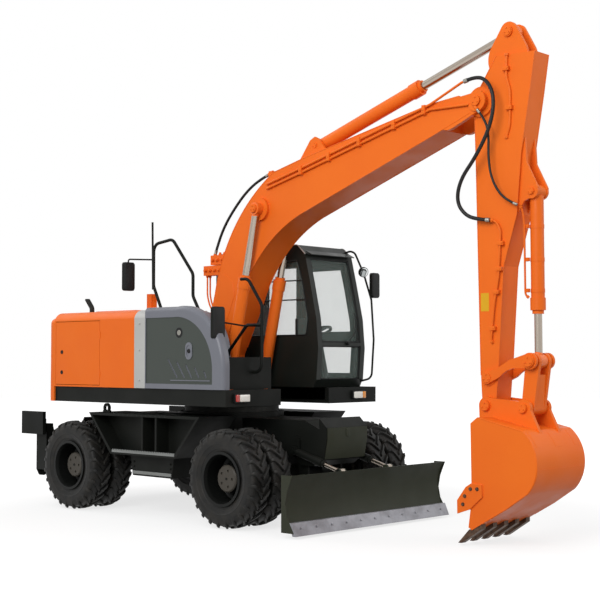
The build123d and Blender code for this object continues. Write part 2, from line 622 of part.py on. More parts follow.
BAY_X = (TAIL_X, -830.0)      # the engine bay, full width
FLANK_X = -300.0                  # the right-hand orange panels run on to here
BAND_X = -110.0                   # then a silver band, then the tank cover
BAY_Y = 300.0
LID_X = (-1740.0, -960.0)
LID_Y = 700.0
DOOR_X = (-1804.0, -935.0)
DOOR_Z = (1490.0, 2252.0)
HINGE_Z = HOOD_Z - 4              # the hood lid's hinge line
INTAKE_X = (-690.0, -605.0)
INTAKE_Y = (-745.0, -660.0)
INTAKE_Z = 2572.0
LID_HINGES = [(place(LID_X[0], y, HINGE_Z), Vector(0, 1, 0)) for y in (-400, 400)]
DOOR_HINGES = {
    "left": [(place(DOOR_X[0], SIDE_Y, z), Vector(0, 0, 1)) for z in (1620, 2080)],
    "right": [(place(DOOR_X[1], -SIDE_Y, z), Vector(0, 0, 1)) for z in (1620, 2080)],
}

with BuildPart() as engine_cover:
    shell = arch_face(0, PANEL_Z)
    hollow = arch_face(SKIN, PANEL_Z - 1)
    extrude(to_extrude=shell.moved(Location((BAY_X[0], 0, 0))), amount=BAY_X[1] - BAY_X[0])
    extrude(to_extrude=hollow.moved(Location((BAY_X[0] + SKIN, 0, 0))),
            amount=BAY_X[1] - BAY_X[0] - 2 * SKIN, mode=Mode.SUBTRACT)
    block(LID_X, (-LID_Y, LID_Y), (HOOD_Z - 110, HOOD_Z + 10), Mode.SUBTRACT)
    for hand in (1, -1):
        block(DOOR_X, sign_y(hand, (SIDE_Y - SKIN - 5, SIDE_Y + 5)), DOOR_Z, Mode.SUBTRACT)
    for centre, along in LID_HINGES + DOOR_HINGES["left"] + DOOR_HINGES["right"]:
        hinge_post(centre, along)
    # the right-hand panels run on forward
    extrude(to_extrude=arch_face(0, PANEL_Z, False).moved(Location((BAY_X[1], 0, 0))),
            amount=FLANK_X - BAY_X[1])
    extrude(to_extrude=arch_face(SKIN, PANEL_Z - 1, False).moved(Location((BAY_X[1] - 1, 0, 0))),
            amount=FLANK_X - BAY_X[1] - SKIN, mode=Mode.SUBTRACT)
    # intake box on the hood
    block(INTAKE_X, INTAKE_Y, (HOOD_Z - 20, INTAKE_Z))
    slab([(INTAKE_X[1] - 1, 2480), (INTAKE_X[1] + 45, HOOD_Z - 10), (INTAKE_X[1] - 1, HOOD_Z - 10)],
         -730, -680)
save(engine_cover.part, "engine_cover")

# Silver band: the bodywork's own arch carried on over one narrow stretch
with BuildPart() as band:
    extrude(to_extrude=arch_face(0, PANEL_Z, False).moved(Location((FLANK_X, 0, 0))),
            amount=BAND_X - FLANK_X)
save(band.part, "silver_band")

# Tank with its curved side cover, which stands out ahead of it beside the steps
COVER_FRONT = 1175.0
COVER_TOP = 2380.0
COVER_SIDE_Z = 1715.0             # where the cover's front edge ends its curve
COVER_FLAT = 400.0                # and where its top begins to fall
PANEL_FRONT = 1008.0              # the grey side panel, let into the cover
PANEL_TOP = 2261.0
PANEL_SIDE_Z = 1661.0
PANEL_DEPTH = 8.0
TANK_Y = (-SIDE_Y, -420.0)
COVER_Y = (-SIDE_Y, -1150.0)
STEP_X = (450.0, 1075.0)
STEP_Z = 1820.0
FILLER = (463.0, 2089.0)
LOCK = (629.0, 1887.0)
SLOTS = 5                         # slanted slots low in the panel, each shorter than the last
SLOT_R = 9.0


def falling(x_from, x_flat, x_front, z_top, z_side, foot, y):
    """Side outline with a flat top that falls in a quarter curve in front."""
    mid = (x_front - (x_front - x_flat) * 0.27, z_side + (z_top - z_side) * 0.72)
    with BuildSketch(side(y)) as outline:
        with BuildLine():
            Polyline((x_front, foot), (x_from, foot), (x_from, z_top), (x_flat, z_top))
            ThreePointArc((x_flat, z_top), mid, (x_front, z_side))
            Line((x_front, z_side), (x_front, foot))
        make_face()
    return outline.sketch


with BuildPart() as tank_cover:
    extrude(to_extrude=falling(BAND_X, COVER_FLAT, COVER_FRONT, COVER_TOP, COVER_SIDE_Z, PANEL_Z,
                               COVER_Y[1]), amount=COVER_Y[1] - COVER_Y[0])
    outer_edges = tank_cover.faces().sort_by(Axis.Y)[0].edges()
    fillet([e for e in outer_edges if e.center().Z > COVER_SIDE_Z and e.center().X > SWING_X + BAND_X + 1],
           55)
    extrude(to_extrude=falling(BAND_X, -90, STEP_X[0] - 40, COVER_TOP - 15, STEP_Z, PANEL_Z, TANK_Y[1]),
            amount=TANK_Y[1] - COVER_Y[1])
    block((0, STEP_X[0]), (COVER_Y[1], TANK_Y[1]), (PANEL_Z, STEP_Z))
    # the side panel lies a little deeper, with the filler's hole, its lock and the slots
    extrude(to_extrude=falling(BAND_X + 12, 365, PANEL_FRONT, PANEL_TOP, PANEL_SIDE_Z, 1525,
                               COVER_Y[0] + PANEL_DEPTH), amount=PANEL_DEPTH + 1, mode=Mode.SUBTRACT)
    boss(FILLER, 39, COVER_Y[0], COVER_Y[0] + 45, Mode.SUBTRACT)
    strap((LOCK[0], LOCK[1] - 40), (LOCK[0], LOCK[1] + 40), 54, 54, COVER_Y[0], COVER_Y[0] + 10)
    strap((LOCK[0], LOCK[1] - 30), (LOCK[0], LOCK[1] + 30), 34, 34, COVER_Y[0] - 1, COVER_Y[0] + 6,
          Mode.SUBTRACT)
    for slot in range(SLOTS):
        foot = (430 + 118 * slot, 1600)
        share = (SLOTS - slot) / SLOTS
        strap(foot, (foot[0] - 145 * share, foot[1] + 190 * share**0.7), SLOT_R, SLOT_R,
              COVER_Y[0] + 2, COVER_Y[0] + 20, Mode.SUBTRACT)
    block((330, 970), (COVER_Y[0], COVER_Y[0] + 10), (1560, 1570))
save(tank_cover.part, "tank_cover")

# Hood lid and side doors fill their openings with a small gap all round
with BuildPart() as hood_lid:
    lid_x = (LID_X[0] + SHUT, LID_X[1] - SHUT)
    slice_x([(-LID_Y + SHUT, HOOD_Z - 45), (LID_Y - SHUT, HOOD_Z - 45), (LID_Y - SHUT, HOOD_Z + 12),
             (0, HOOD_Z + 20), (-LID_Y + SHUT, HOOD_Z + 12)], *lid_x)
    for centre, along in LID_HINGES:
        hinge_eye(centre, along)
save(hood_lid.part, "hood_lid")
for name, hand in (("left", 1), ("right", -1)):
    with BuildPart() as door:
        block((DOOR_X[0] + SHUT, DOOR_X[1] - SHUT), sign_y(hand, (SIDE_Y - SKIN, SIDE_Y)),
              (DOOR_Z[0] + SHUT, DOOR_Z[1] - SHUT))
        for centre, along in DOOR_HINGES[name]:
            hinge_eye(centre, along)
    save(door.part, f"engine_door_{name}")

# Engine and gearbox of pumps as one plain block across the bay
with BuildPart() as engine:
    block((-1690, -1210), (-780, 700), (PLATFORM_Z[1], 2120))
save(engine.part, "engine")

# Box with a perforated step ahead of the tank
with BuildPart() as step_locker:
    block(STEP_X, (COVER_Y[1], TANK_Y[1]), (PANEL_Z, STEP_Z))
save(step_locker.part, "front_step")

# Cab: one hollow shell, its windows and doorway cut
CAB_SIDE = [(-720, 1470), (-700, 3020), (-600, 3110), (700, 3150), (830, 3030), (910, 2710),
            (1010, 2270), (1040, 1930), (1010, 1560), (960, 1470)]
CAB_MID = sum(CAB_Y) / 2
DOORWAY = [(30, 1560), (900, 1560), (930, 1930), (905, 2270), (810, 2700), (740, 2960), (30, 2960)]
CAB_HINGES = [(place(DOORWAY[0][0], CAB_Y[1], z), Vector(0, 0, 1)) for z in (1720, 2300, 2820)]
REAR_PANE = [(-600, 2080), (-60, 2080), (-60, 2960), (-590, 2960)]
RIGHT_PANE = [(-600, 2080), (500, 2080), (850, 2080), (880, 2270), (790, 2700), (710, 2960), (-590, 2960)]

GUARD_BARS = [(2728, 778), (2500, 832)]      # height, and the front edge of the window there


def inset_outline(points, inset, y):
    """A side outline drawn in from its corners by one width."""
    with BuildSketch(side(y)) as outline:
        Polygon(*points, align=None)
        if inset:
            offset(amount=-inset, kind=Kind.INTERSECTION)
    return outline.sketch


def cab_outline(inset, y):
    """The cab's side outline, a wall's thickness in."""
    return inset_outline(CAB_SIDE, inset, y)


with BuildPart() as cab:
    extrude(to_extrude=cab_outline(0, CAB_Y[1]), amount=CAB_Y[1] - CAB_Y[0])
    extrude(to_extrude=cab_outline(CAB_WALL, CAB_Y[1] - CAB_WALL),
            amount=CAB_Y[1] - CAB_Y[0] - 2 * CAB_WALL, mode=Mode.SUBTRACT)
    slab(DOORWAY, CAB_Y[1] - CAB_WALL - 1, CAB_Y[1] + 1, Mode.SUBTRACT)
    slab(REAR_PANE, CAB_Y[1] - CAB_WALL - 1, CAB_Y[1] + 1, Mode.SUBTRACT)
    slab(RIGHT_PANE, CAB_Y[0] - 1, CAB_Y[0] + CAB_WALL + 1, Mode.SUBTRACT)
    block((700, 1100), (CAB_Y[0] + 75, CAB_Y[1] - 75), (1995, 2990), Mode.SUBTRACT)
    block((900, 1100), (CAB_Y[0] + 75, CAB_Y[1] - 75), (1560, 1955), Mode.SUBTRACT)
    block((-780, -640), (CAB_Y[0] + 90, CAB_Y[1] - 90), (2150, 2950), Mode.SUBTRACT)
    block((50, 600), (CAB_Y[0] + 120, CAB_Y[1] - 120), (3040, 3200), Mode.SUBTRACT)
    for centre, along in CAB_HINGES:
        hinge_post(centre, along)
    # guard bars across the window beside the boom
    for z, x_front in GUARD_BARS:
        bar(place(RIGHT_PANE[0][0] - 12, CAB_Y[0] + 10, z), place(x_front + 12, CAB_Y[0] + 10, z), 8)
save(cab.part, "cab_shell")

PANE = 6.0
with BuildPart() as cab_glass:
    slab(REAR_PANE, CAB_Y[1] - 25 - PANE, CAB_Y[1] - 25)
    slab(RIGHT_PANE, CAB_Y[0] + 20, CAB_Y[0] + 20 + PANE)
    block((-680, -680 + PANE), (CAB_Y[0] + 90, CAB_Y[1] - 90), (2150, 2950))
    block((50, 600), (CAB_Y[0] + 120, CAB_Y[1] - 120), (3080, 3080 + PANE))
with BuildPart() as windscreen:
    extrude(to_extrude=cab_outline(20, CAB_Y[1] - 75), amount=CAB_Y[1] - CAB_Y[0] - 150)
    extrude(to_extrude=cab_outline(20 + PANE, CAB_Y[1] - 75), amount=CAB_Y[1] - CAB_Y[0] - 150,
            mode=Mode.SUBTRACT)
    block((-900, 700), CAB_Y, (1300, 3300), Mode.SUBTRACT)
    block((700, 1200), CAB_Y, (1300, 1560), Mode.SUBTRACT)
    block((700, 1200), CAB_Y, (2990, 3300), Mode.SUBTRACT)
    block((700, 1200), CAB_Y, (1955, 1995), Mode.SUBTRACT)
save(Compound(children=cab_glass.solids() + windscreen.solids()), "cab_glass")

# Cab door, hinged on its rear edge
DOOR_FRAME = 70.0
with BuildPart() as cab_door:
    extrude(to_extrude=inset_outline(DOORWAY, SHUT, CAB_Y[1]), amount=CAB_WALL)
    extrude(to_extrude=inset_outline(DOORWAY, DOOR_FRAME, CAB_Y[1]), amount=CAB_WALL,
            mode=Mode.SUBTRACT)
    block((60, 880), (CAB_Y[1] - CAB_WALL, CAB_Y[1]), (1960, 2010))
    for centre, along in CAB_HINGES:
        hinge_eye(centre, along)
save(cab_door.part, "cab_door")

# Seat and the driver's stand with its wheel
with BuildPart() as seat:
    block((-350, 150), (560, 1050), (1540, 1790))
    block((-330, 150), (550, 1060), (1790, 1930))
    slab([(-330, 1930), (-480, 2620), (-380, 2640), (-210, 1930)], 560, 1050)
    for y in (450, 1060):
        block((-250, 350), (y, y + 90), (1515, 2040))
save(seat.part, "seat")
with BuildPart() as steering:
    bar(place(780, CAB_MID, 1526), place(640, CAB_MID, 2110), 45)
    with BuildSketch(Plane(origin=place(640, CAB_MID, 2110), z_dir=(-0.35, 0, 0.94))):
        Circle(190)
        Circle(160, mode=Mode.SUBTRACT)
        Rectangle(340, 40)
    extrude(amount=25)
save(steering.part, "steering_column")
with BuildPart() as door_glass:
    slab([(60, 1590), (905, 1590), (930, 1930), (930, 1960), (60, 1960)], CAB_Y[1] - 25 - PANE,
         CAB_Y[1] - 25)
    slab([(60, 2010), (925, 2010), (905, 2270), (800, 2700), (740, 2940), (60, 2940)],
         CAB_Y[1] - 25 - PANE, CAB_Y[1] - 25)
    add(cab_door.part, mode=Mode.SUBTRACT)
    extrude(to_extrude=inset_outline(DOORWAY, DOOR_FRAME, CAB_Y[1]), amount=CAB_WALL,
            mode=Mode.INTERSECT)
save(door_glass.part, "cab_door_glass")

# Routes of the free hoses, ridden by the boom, and the pipes that lead to them
HOSE_LONG = [(3596, -236, 4563), (3759, -245, 4597), (3913, -262, 4506), (3984, -272, 4317),
             (3931, -275, 4059), (3762, -275, 3790), (3560, -265, 3576), (3500, -245, 3363),
             (3597, -220, 3218), (3745, -190, 3174), (3853, -175, 3162)]
HOSE_SHORT = [(3752, -237, 4262), (3838, -234, 4160), (3884, -229, 4010), (3873, -226, 3812),
              (3896, -224, 3595), (3977, -208, 3423), (4075, -180, 3330), (4165, -165, 3290)]
HOSE_BACK = [(-188, -100, 3061), (-127, -100, 3214), (-14, -100, 3405), (150, -100, 3589),
             (337, -100, 3757), (537, -100, 3874), (718, -100, 3932)]
PIPE_R = 13.0
PIPE_Y = -BOOM_HALF - 20
PIPE_PITCH = 52.0
PIPE_BEND = (1300.0, 3920.0)
PIPE_END = (3157.0, 4395.0)
CLAMPS_X = (1340, 1760, 2200, 2680, 3080)

# Boom: a cranked box beam, drawn from the side with arcs at its bends
with BuildPart() as boom:
    with BuildSketch(side(BOOM_HALF)) as outline:
        with BuildLine():
            Line((-270, 1850), (-98, 2500))
            ThreePointArc((-98, 2500), (164, 3211), (892, 3930))
            Polyline((892, 3930), (1308, 4030), (3165, 4408), (3500, 4440))
            Line((3500, 4440), (3640, 4250))
            Polyline((3640, 4250), (3187, 4081), (1308, 3416))
            ThreePointArc((1308, 3416), (645, 2958), (343, 2486))
            Polyline((343, 2486), (10, 1850), (-270, 1850))
        make_face()
        with Locations(BOOM_FOOT):
            Circle(140)
    extrude(to_extrude=outline.sketch, amount=2 * BOOM_HALF)
    boss(BOOM_FOOT, 50, -BOOM_HALF, BOOM_HALF, Mode.SUBTRACT)
    # the tip is a fork round the arm's pivot boss
    slab([(3185, 4600), (3185, 4390), (3290, 4310), (3290, 4000), (3900, 4000), (3900, 4600)],
         -EYE_Y, EYE_Y, Mode.SUBTRACT)
    for hand in (1, -1):
        strap(BOOM_TIP, (3360, 4260), 95, 150, *sign_y(hand, (EYE_Y, BOOM_HALF)))
        boss(BOOM_TIP, 105, *sign_y(hand, (BOOM_HALF - 1, BOOM_HALF + 22)))
        # ears of the arm ram on the boom's back
        slab([(1180, 3990), (1640, 4085), (1520, 4250), (1450, 4285), (1380, 4250)],
             *sign_y(hand, (80, 112)))
        # bosses for the boom rams' eyes stand out of the side plates
        boss(BOOM_RAM_EYE, 130, *sign_y(hand, (BOOM_HALF - 1, BOOM_RAM_Y - 42 - FACE)))
    boss(BOOM_TIP, 45 - RUN, -BOOM_HALF - 36, BOOM_HALF + 36)
    boss(ARM_RAM_BASE, 40 - RUN, -112, 112)
    # two steel pipes in clamps along the right side, the upper one rising to the first hose
    tube([(800, PIPE_Y, 3800), (PIPE_BEND[0], PIPE_Y, PIPE_BEND[1]), (PIPE_END[0], PIPE_Y, PIPE_END[1]),
          (3560, -234, 4555.5), HOSE_LONG[0]], PIPE_R, 60)
    tube([(800, PIPE_Y, 3800 - PIPE_PITCH), (PIPE_BEND[0], PIPE_Y, PIPE_BEND[1] - PIPE_PITCH),
          (PIPE_END[0], PIPE_Y, PIPE_END[1] - PIPE_PITCH), (3645, PIPE_Y, 4330)], PIPE_R, 60)
    for x in CLAMPS_X:
        rise = (x - PIPE_BEND[0]) / (PIPE_END[0] - PIPE_BEND[0])
        z = PIPE_BEND[1] + rise * (PIPE_END[1] - PIPE_BEND[1])
        block((x - 22, x + 22), (PIPE_Y - 18, -BOOM_HALF + 1), (z - PIPE_PITCH - 22, z + 22))
    # elbow of the short hose on the tip's boss
    fitting(HOSE_SHORT[0], HOSE_SHORT[1], 40, 17)
    # manifold and pipe block behind the boom's foot, and the clip where its hose ends
    block((-215, 90), (-155, -50), (2925, 3040))
    block((-310, 40), (-180, -60), (2800, 2915))
    fitting(HOSE_BACK[0], HOSE_BACK[1], 60, 21)
    fitting(HOSE_BACK[-1], HOSE_BACK[-2], 75, 21)
    block((742, 800), (-130, -70), (3850, 3965))
save(boom.part, "boom")

# Hoses that lie free: straight runs joined by arcs as large as the runs allow
HOSES = [  # name, radius, route
    ("hose_arm_long", 19.0, HOSE_LONG),
    ("hose_arm_short", 12.0, HOSE_SHORT),
    ("hose_boom_back", 16.0, HOSE_BACK),
]
for name, radius, route in HOSES:
    points = [place(*p) for p in route]
    runs = [b - a for a, b in zip(points, points[1:])]
    bends = [0.45 * min(p.length, q.length) / math.tan(math.radians(p.get_angle(q)) / 2)
             for p, q in zip(runs, runs[1:])]
    with BuildPart() as hose:
        with BuildLine() as path:
            FilletPolyline(*points, radius=bends)
        with BuildSketch(Plane(origin=path.line @ 0, z_dir=path.line % 0)) as disc:
            Circle(radius)
        sweep(sections=disc.sketch, path=path.line)
    length = path.wire().length
    fullness = hose.part.volume / (math.pi * radius**2 * length)
    print(f"{name} {length:.0f} long, volume {fullness:.3f} of its section times its length,",
          "bends", [round(r) for r in bends])
    save(hose.part, name)

# Boom rams: one on each side of the boom, both barrels in one piece list and both rods in another
with BuildPart() as boom_barrels:
    for hand in (1, -1):
        ram_barrel(BOOM_RAM_BASE, BOOM_RAM_EYE, hand * BOOM_RAM_Y, 68, 1370, 41, 70, 34, 40, 130)
save(boom_barrels.part, "boom_ram_barrels")
with BuildPart() as boom_rods:
    for hand in (1, -1):
        ram_rod(BOOM_RAM_BASE, BOOM_RAM_EYE, hand * BOOM_RAM_Y, 750, 41, 72, 42)
        boss(BOOM_RAM_EYE, 50, *sign_y(hand, (BOOM_RAM_Y + 41, BOOM_RAM_Y + 60)))
save(boom_rods.part, "boom_ram_rods")

# Arm ram on the boom's back
with BuildPart() as arm_barrel:
    ram_barrel(ARM_RAM_BASE, ARM_RAM_EYE, 0, 75, 1530, 45, 72, 78, 40, 130)
save(arm_barrel.part, "arm_ram_barrel")
with BuildPart() as arm_rod:
    ram_rod(ARM_RAM_BASE, ARM_RAM_EYE, 0, 1160, 45, 75, 55)
save(arm_rod.part, "arm_ram_rod")

# Arm: a tapered box beam with a pivot boss behind it and ears for the rams
ARM_SIDE = [(3905, 4790), (3710, 4500), (3640, 4355), (3655, 3800), (3700, 1617), (3715, 1345),
            (3870, 1290), (3905, 1700), (3975, 2710), (4130, 3200), (4185, 3800), (4290, 4390),
            (4350, 4770)]
with BuildPart() as arm:
    slab(ARM_SIDE, -ARM_HALF, ARM_HALF)
    boss(BOOM_TIP, 150, -EYE_Y + FACE, EYE_Y - FACE)
    boss(BUCKET_PIN, 84, -ARM_HALF - 8, ARM_HALF + 8)
    boss(ROCKER_PIN, 80, -ARM_HALF - 9, ARM_HALF + 9)
    for hand in (1, -1):
        strap(ARM_RAM_EYE, (4020, 4760), 95, 230, *sign_y(hand, (62, 96)))
        boss(ARM_RAM_EYE, 55, *sign_y(hand, (95, 118)))
        slab([(4215, 3950), (4030, 3050), (4200, 3330), (4345, 3385), (4355, 3455), (4230, 3700)],
             *sign_y(hand, (70, 98)))
        boss(BUCKET_RAM_BASE, 75, *sign_y(hand, (70, 98)))
    boss(BUCKET_RAM_BASE, 38 - RUN, -110, 110)
    boss(BOOM_TIP, 45, -EYE_Y, EYE_Y, Mode.SUBTRACT)
    boss(BUCKET_PIN, 40, -ARM_HALF - 8, ARM_HALF + 8, Mode.SUBTRACT)
    boss(ROCKER_PIN, 34, -ARM_HALF - 9, ARM_HALF + 9, Mode.SUBTRACT)
save(arm.part, "arm")

# Bucket ram
with BuildPart() as bucket_barrel:
    ram_barrel(BUCKET_RAM_BASE, LINK_TOP, 0, 66, 1185, 38, 68, 68, 38, 120)
save(bucket_barrel.part, "bucket_ram_barrel")
with BuildPart() as bucket_rod:
    ram_rod(BUCKET_RAM_BASE, LINK_TOP, 0, 520, 38, 68, 58)
save(bucket_rod.part, "bucket_ram_rod")

# Rocker: two cranked plates outside the arm, joined by their pin through it
ROCKER_Y = (ARM_HALF + 10, ARM_HALF + 40)
with BuildPart() as rocker:
    for hand in (1, -1):
        with BuildSketch(side(max(sign_y(hand, ROCKER_Y)))) as outline:
            with Locations(ROCKER_PIN):
                Circle(62)
            with Locations(LINK_TOP):
                Circle(80)
            Polygon((3765, 1672), (3900, 1700), (4060, 1790), (4240, 1845), (4340, 1720), (4230, 1715),
                    (4096, 1709), (4030, 1687), (3986, 1660), (3940, 1622), (3833, 1572), align=None)
        extrude(to_extrude=outline.sketch, amount=ROCKER_Y[1] - ROCKER_Y[0])
        boss(LINK_TOP, 62, *sign_y(hand, (ROCKER_Y[1] - 1, ROCKER_Y[1] + 25)))
    boss(ROCKER_PIN, 34 - RUN, -ROCKER_Y[1], ROCKER_Y[1])
save(rocker.part, "rocker")

# Bucket link: a box with two ears above and one wide eye below
LINK_EAR = (70.0, 108.0)
with BuildPart() as link:
    for hand in (1, -1):
        strap(LINK_TOP, LINK_FOOT, 78, 70, *sign_y(hand, LINK_EAR))
    slab([(4200, 1650), (4328, 1650), (4297, 1330), (4157, 1330)], -LINK_EAR[0], LINK_EAR[0])
    boss(LINK_FOOT, 70, -LINK_EAR[1], LINK_EAR[1])
    boss(LINK_FOOT, 36, -LINK_EAR[1], LINK_EAR[1], Mode.SUBTRACT)
save(link.part, "bucket_link")

# Bucket: a curved shell between two side plates, with ears, cutters and teeth
BUCKET_T = 18.0
BUCKET_EAR = (145.0, 185.0)
with BuildPart() as bucket:
    with BuildSketch(side(BUCKET_HALF)) as shell:
        with BuildLine():
            Line((3790, 450), (3780, 1180))
            Polyline((3780, 1180), (3860, 1240), (4370, 1130))
            ThreePointArc((4370, 1130), (4530, 850), (4420, 540))
            Polyline((4420, 540), (4180, 380), (3790, 158), (3750, 180), (3790, 450))
        make_face()
    extrude(to_extrude=shell.sketch, amount=2 * BUCKET_HALF)
    with BuildSketch(side(BUCKET_HALF - BUCKET_T)) as mouth:
        with BuildLine():
            Polyline((3750 - 60, 450), (3760, 1160), (3862, 1220), (4360, 1112))
            ThreePointArc((4360, 1112), (4512, 850), (4408, 556))
            Polyline((4408, 556), (4172, 398), (3770, 169), (3690, 150), (3690, 450))
        make_face()
    extrude(to_extrude=mouth.sketch, amount=2 * (BUCKET_HALF - BUCKET_T), mode=Mode.SUBTRACT)
    for hand in (1, -1):
        slab([(3720, 1215), (3860, 1239), (4372, 1129), (4420, 1080), (4310, 1300), (4290, 1385),
              (4180, 1395), (3900, 1415), (3800, 1425), (3715, 1345)], *sign_y(hand, BUCKET_EAR))
        boss(BUCKET_PIN, 85, *sign_y(hand, BUCKET_EAR))
        boss(BUCKET_PIN, 62, *sign_y(hand, (ARM_HALF + 8 + FACE, BUCKET_EAR[0] + 1)))
        boss(LINK_FOOT, 82, *sign_y(hand, BUCKET_EAR))
        boss(LINK_FOOT, 66, *sign_y(hand, (LINK_EAR[1] + FACE, BUCKET_EAR[0] + 1)))
        boss(BUCKET_PIN, 52, *sign_y(hand, (BUCKET_EAR[1] - 1, BUCKET_EAR[1] + 25)))
        boss(LINK_FOOT, 48, *sign_y(hand, (BUCKET_EAR[1] - 1, BUCKET_EAR[1] + 22)))
        slab([(3790, 604), (3731, 567), (3629, 434), (3631, 305), (3776, 355), (3923, 485),
              (3918, 598)], *sign_y(hand, (BUCKET_HALF, BUCKET_HALF + 18)))
    boss(BUCKET_PIN, 40 - RUN, -BUCKET_EAR[1], BUCKET_EAR[1])
    boss(LINK_FOOT, 36 - RUN, -BUCKET_EAR[1], BUCKET_EAR[1])
save(bucket.part, "bucket")

TOOTH_PITCH = 190.0
with BuildPart() as teeth:
    for tooth in range(5):
        y = (tooth - 2) * TOOTH_PITCH
        slab([(3900, 228), (3790, 168), (3752, 160), (3622, 22), (3662, 22), (3900, 178)],
             y - 34, y + 34)
    add(bucket.part, mode=Mode.SUBTRACT)
save(teeth.part, "bucket_teeth")

# Handrails, mirrors and lamps on the upper part
LAMPS_Y = (-1010.0, 900.0)
MIRRORS = [  # middle of the glass, half width, half height
    ((-470, -1205, 2750), 78, 165),
    ((1030, -1190, 2190), 85, 172),
    ((1215, 1195, 2680), 68, 150),
]
MIRROR_T = 40.0
RAIL_R = 18.0
with BuildPart() as rails:
    tube([(-90, -1010, 2330), (-250, -1010, 2640), (-250, -1010, 3120), (80, -1010, 3160),
          (430, -1010, 2750), (430, -1010, 2500), (620, -1010, 2200)], RAIL_R, 100)
    bar(place(-262, -1010, 2600), place(-275, -1010, 3380), 12)
    tube([(1000, -700, 1657), (1210, -700, 1657), (1210, -700, 2390), (990, -700, 2685),
          (880, -700, 2685)], RAIL_R, 100)
    tube([(656, -700, STEP_Z - 30), (700, -700, 1900), (976, -700, 2174), (1210, -700, 2170)], RAIL_R,
         60)
    # rail round the cab's front corner, from the roof down to the floor
    tube([(740, 1150, 3080), (880, 1200, 3130), (1030, 1215, 2830), (1150, 1215, 2510),
          (1185, 1215, 2030), (1150, 1215, 1570), (930, 1190, 1520)], 12, 90)
    for (x, y, z), wide, high in MIRRORS:
        with BuildSketch(front(x - MIRROR_T / 2)) as glass:
            with Locations((y, z)):
                RectangleRounded(2 * wide, 2 * high, 30)
        extrude(to_extrude=glass.sketch, amount=MIRROR_T)
    tube([(-470, -1205, 2900), (-470, -1205, 2950), (-262, -1010, 2945)], 9, 20)
    tube([(1030, -1190, 2201), (1128, -900, 2160), (1128, -690, 2172)], 9, 40)
    tube([(1150, 1215, 2510), (1150, 1215, 2640), (1215, 1195, 2680)], 10, 20)
    # round mirror at the cab's corner
    with BuildSketch(Plane(origin=place(1045, 1185, 2850), z_dir=(1, -0.3, -0.3))) as round_glass:
        Circle(62)
    extrude(to_extrude=round_glass.sketch, amount=22)
    for carrier in (band, step_locker, tank_cover, cab):
        add(carrier.part, mode=Mode.SUBTRACT)
save(rails.part, "handrails")

STACK_R = 30.0
with BuildPart() as stack:
    tube([(-1640, -830, HOOD_Z - 20), (-1640, -830, 2430), (-1740, -830, 2540)], STACK_R, 60)
    slab([(-1850, 2545), (-1600, 2545), (-1600, 2620), (-1850, 2620)], -900, -760, Mode.SUBTRACT)
    add(engine_cover.part, mode=Mode.SUBTRACT)
save(stack.part, "exhaust_stack")

# Front lamps: a housing with a round lens and a reflector on each side
with BuildPart() as lamps:
    for y in LAMPS_Y:
        block((1200, 1235), (y - 110, y + 110), (1330, 1430))
        bar(place(1234, y - 55, 1380), place(1246, y - 55, 1380), 38)
        block((1234, 1243), (y + 5, y + 95), (1352, 1408))
save(lamps.part, "head_lamps")
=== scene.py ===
# %% [markdown]
# A wheeled excavator: orange boom, arm and bonnet, a dark cab, a grey tank cover, black running gear
# and twin lugged tyres. The solids come from the CAD frame as they are. This file gives each surface
# its finish and adds what a solid model leaves out: tread, hoses, welds, bolts, pipes, seals and seat.
# Each piece could be modelled by hand, but here each one is worked out with numpy, so its sizes
# stay named and can be changed.

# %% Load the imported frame
import math

import bmesh
import bpy
import numpy as np
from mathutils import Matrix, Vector


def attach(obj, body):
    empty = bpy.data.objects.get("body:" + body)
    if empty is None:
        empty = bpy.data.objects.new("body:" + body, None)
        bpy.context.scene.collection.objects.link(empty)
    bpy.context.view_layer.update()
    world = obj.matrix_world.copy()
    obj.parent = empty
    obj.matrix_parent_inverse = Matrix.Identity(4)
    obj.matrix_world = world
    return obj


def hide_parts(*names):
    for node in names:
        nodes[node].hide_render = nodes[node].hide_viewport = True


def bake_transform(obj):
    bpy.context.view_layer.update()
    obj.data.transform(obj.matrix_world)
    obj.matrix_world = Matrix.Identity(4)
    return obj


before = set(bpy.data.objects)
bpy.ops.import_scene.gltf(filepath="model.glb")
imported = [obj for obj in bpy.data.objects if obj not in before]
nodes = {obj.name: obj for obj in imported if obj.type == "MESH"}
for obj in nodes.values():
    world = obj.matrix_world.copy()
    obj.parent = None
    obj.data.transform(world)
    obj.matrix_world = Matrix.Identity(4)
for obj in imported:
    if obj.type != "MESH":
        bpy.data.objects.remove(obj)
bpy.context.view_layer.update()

MM = 0.001
SWING_X = -1.010      # where the slewing axis stands; places along X below count from it

# %% [markdown]
# What several cells share: the ways a piece can face, and the pins and axles that run across the
# machine, as (along, up) in millimetres from the slewing axis and the ground.

# %% Directions, pins and axles
FORWARD, BACK = (1, 0, 0), (-1, 0, 0)
LEFT, RIGHT = (0, 1, 0), (0, -1, 0)
UP = (0, 0, 1)
FRONT_AXLE = (1150.0, 530.0)
REAR_AXLE = (-1520.0, 530.0)
BOOM_RAM_PIN = (700, 3520)            # the rods' end
ARM_PIN = (3730, 4355)
ARM_RAM_PIN = (4030, 5020)            # the rod's end
BARREL_PIN = (4280, 3420)             # where the bucket ram hangs on the arm
BUCKET_RAM_PIN = (4287, 1780)         # and where its rod drives the rocker

# %% [markdown]
# Colours are written as the hex values an artist picks from a photograph. Blender mixes light in
# linear values, so one function turns each hex into those.

# %% Colours and nodes


def linear(hex_colour):
    """sRGB hex to linear RGBA: (c / 12.92) near black, ((c + 0.055) / 1.055) to the 2.4 above."""
    values = [int(hex_colour[i:i + 2], 16) / 255 for i in (1, 3, 5)]
    return [v / 12.92 if v <= 0.04045 else ((v + 0.055) / 1.055) ** 2.4 for v in values] + [1.0]


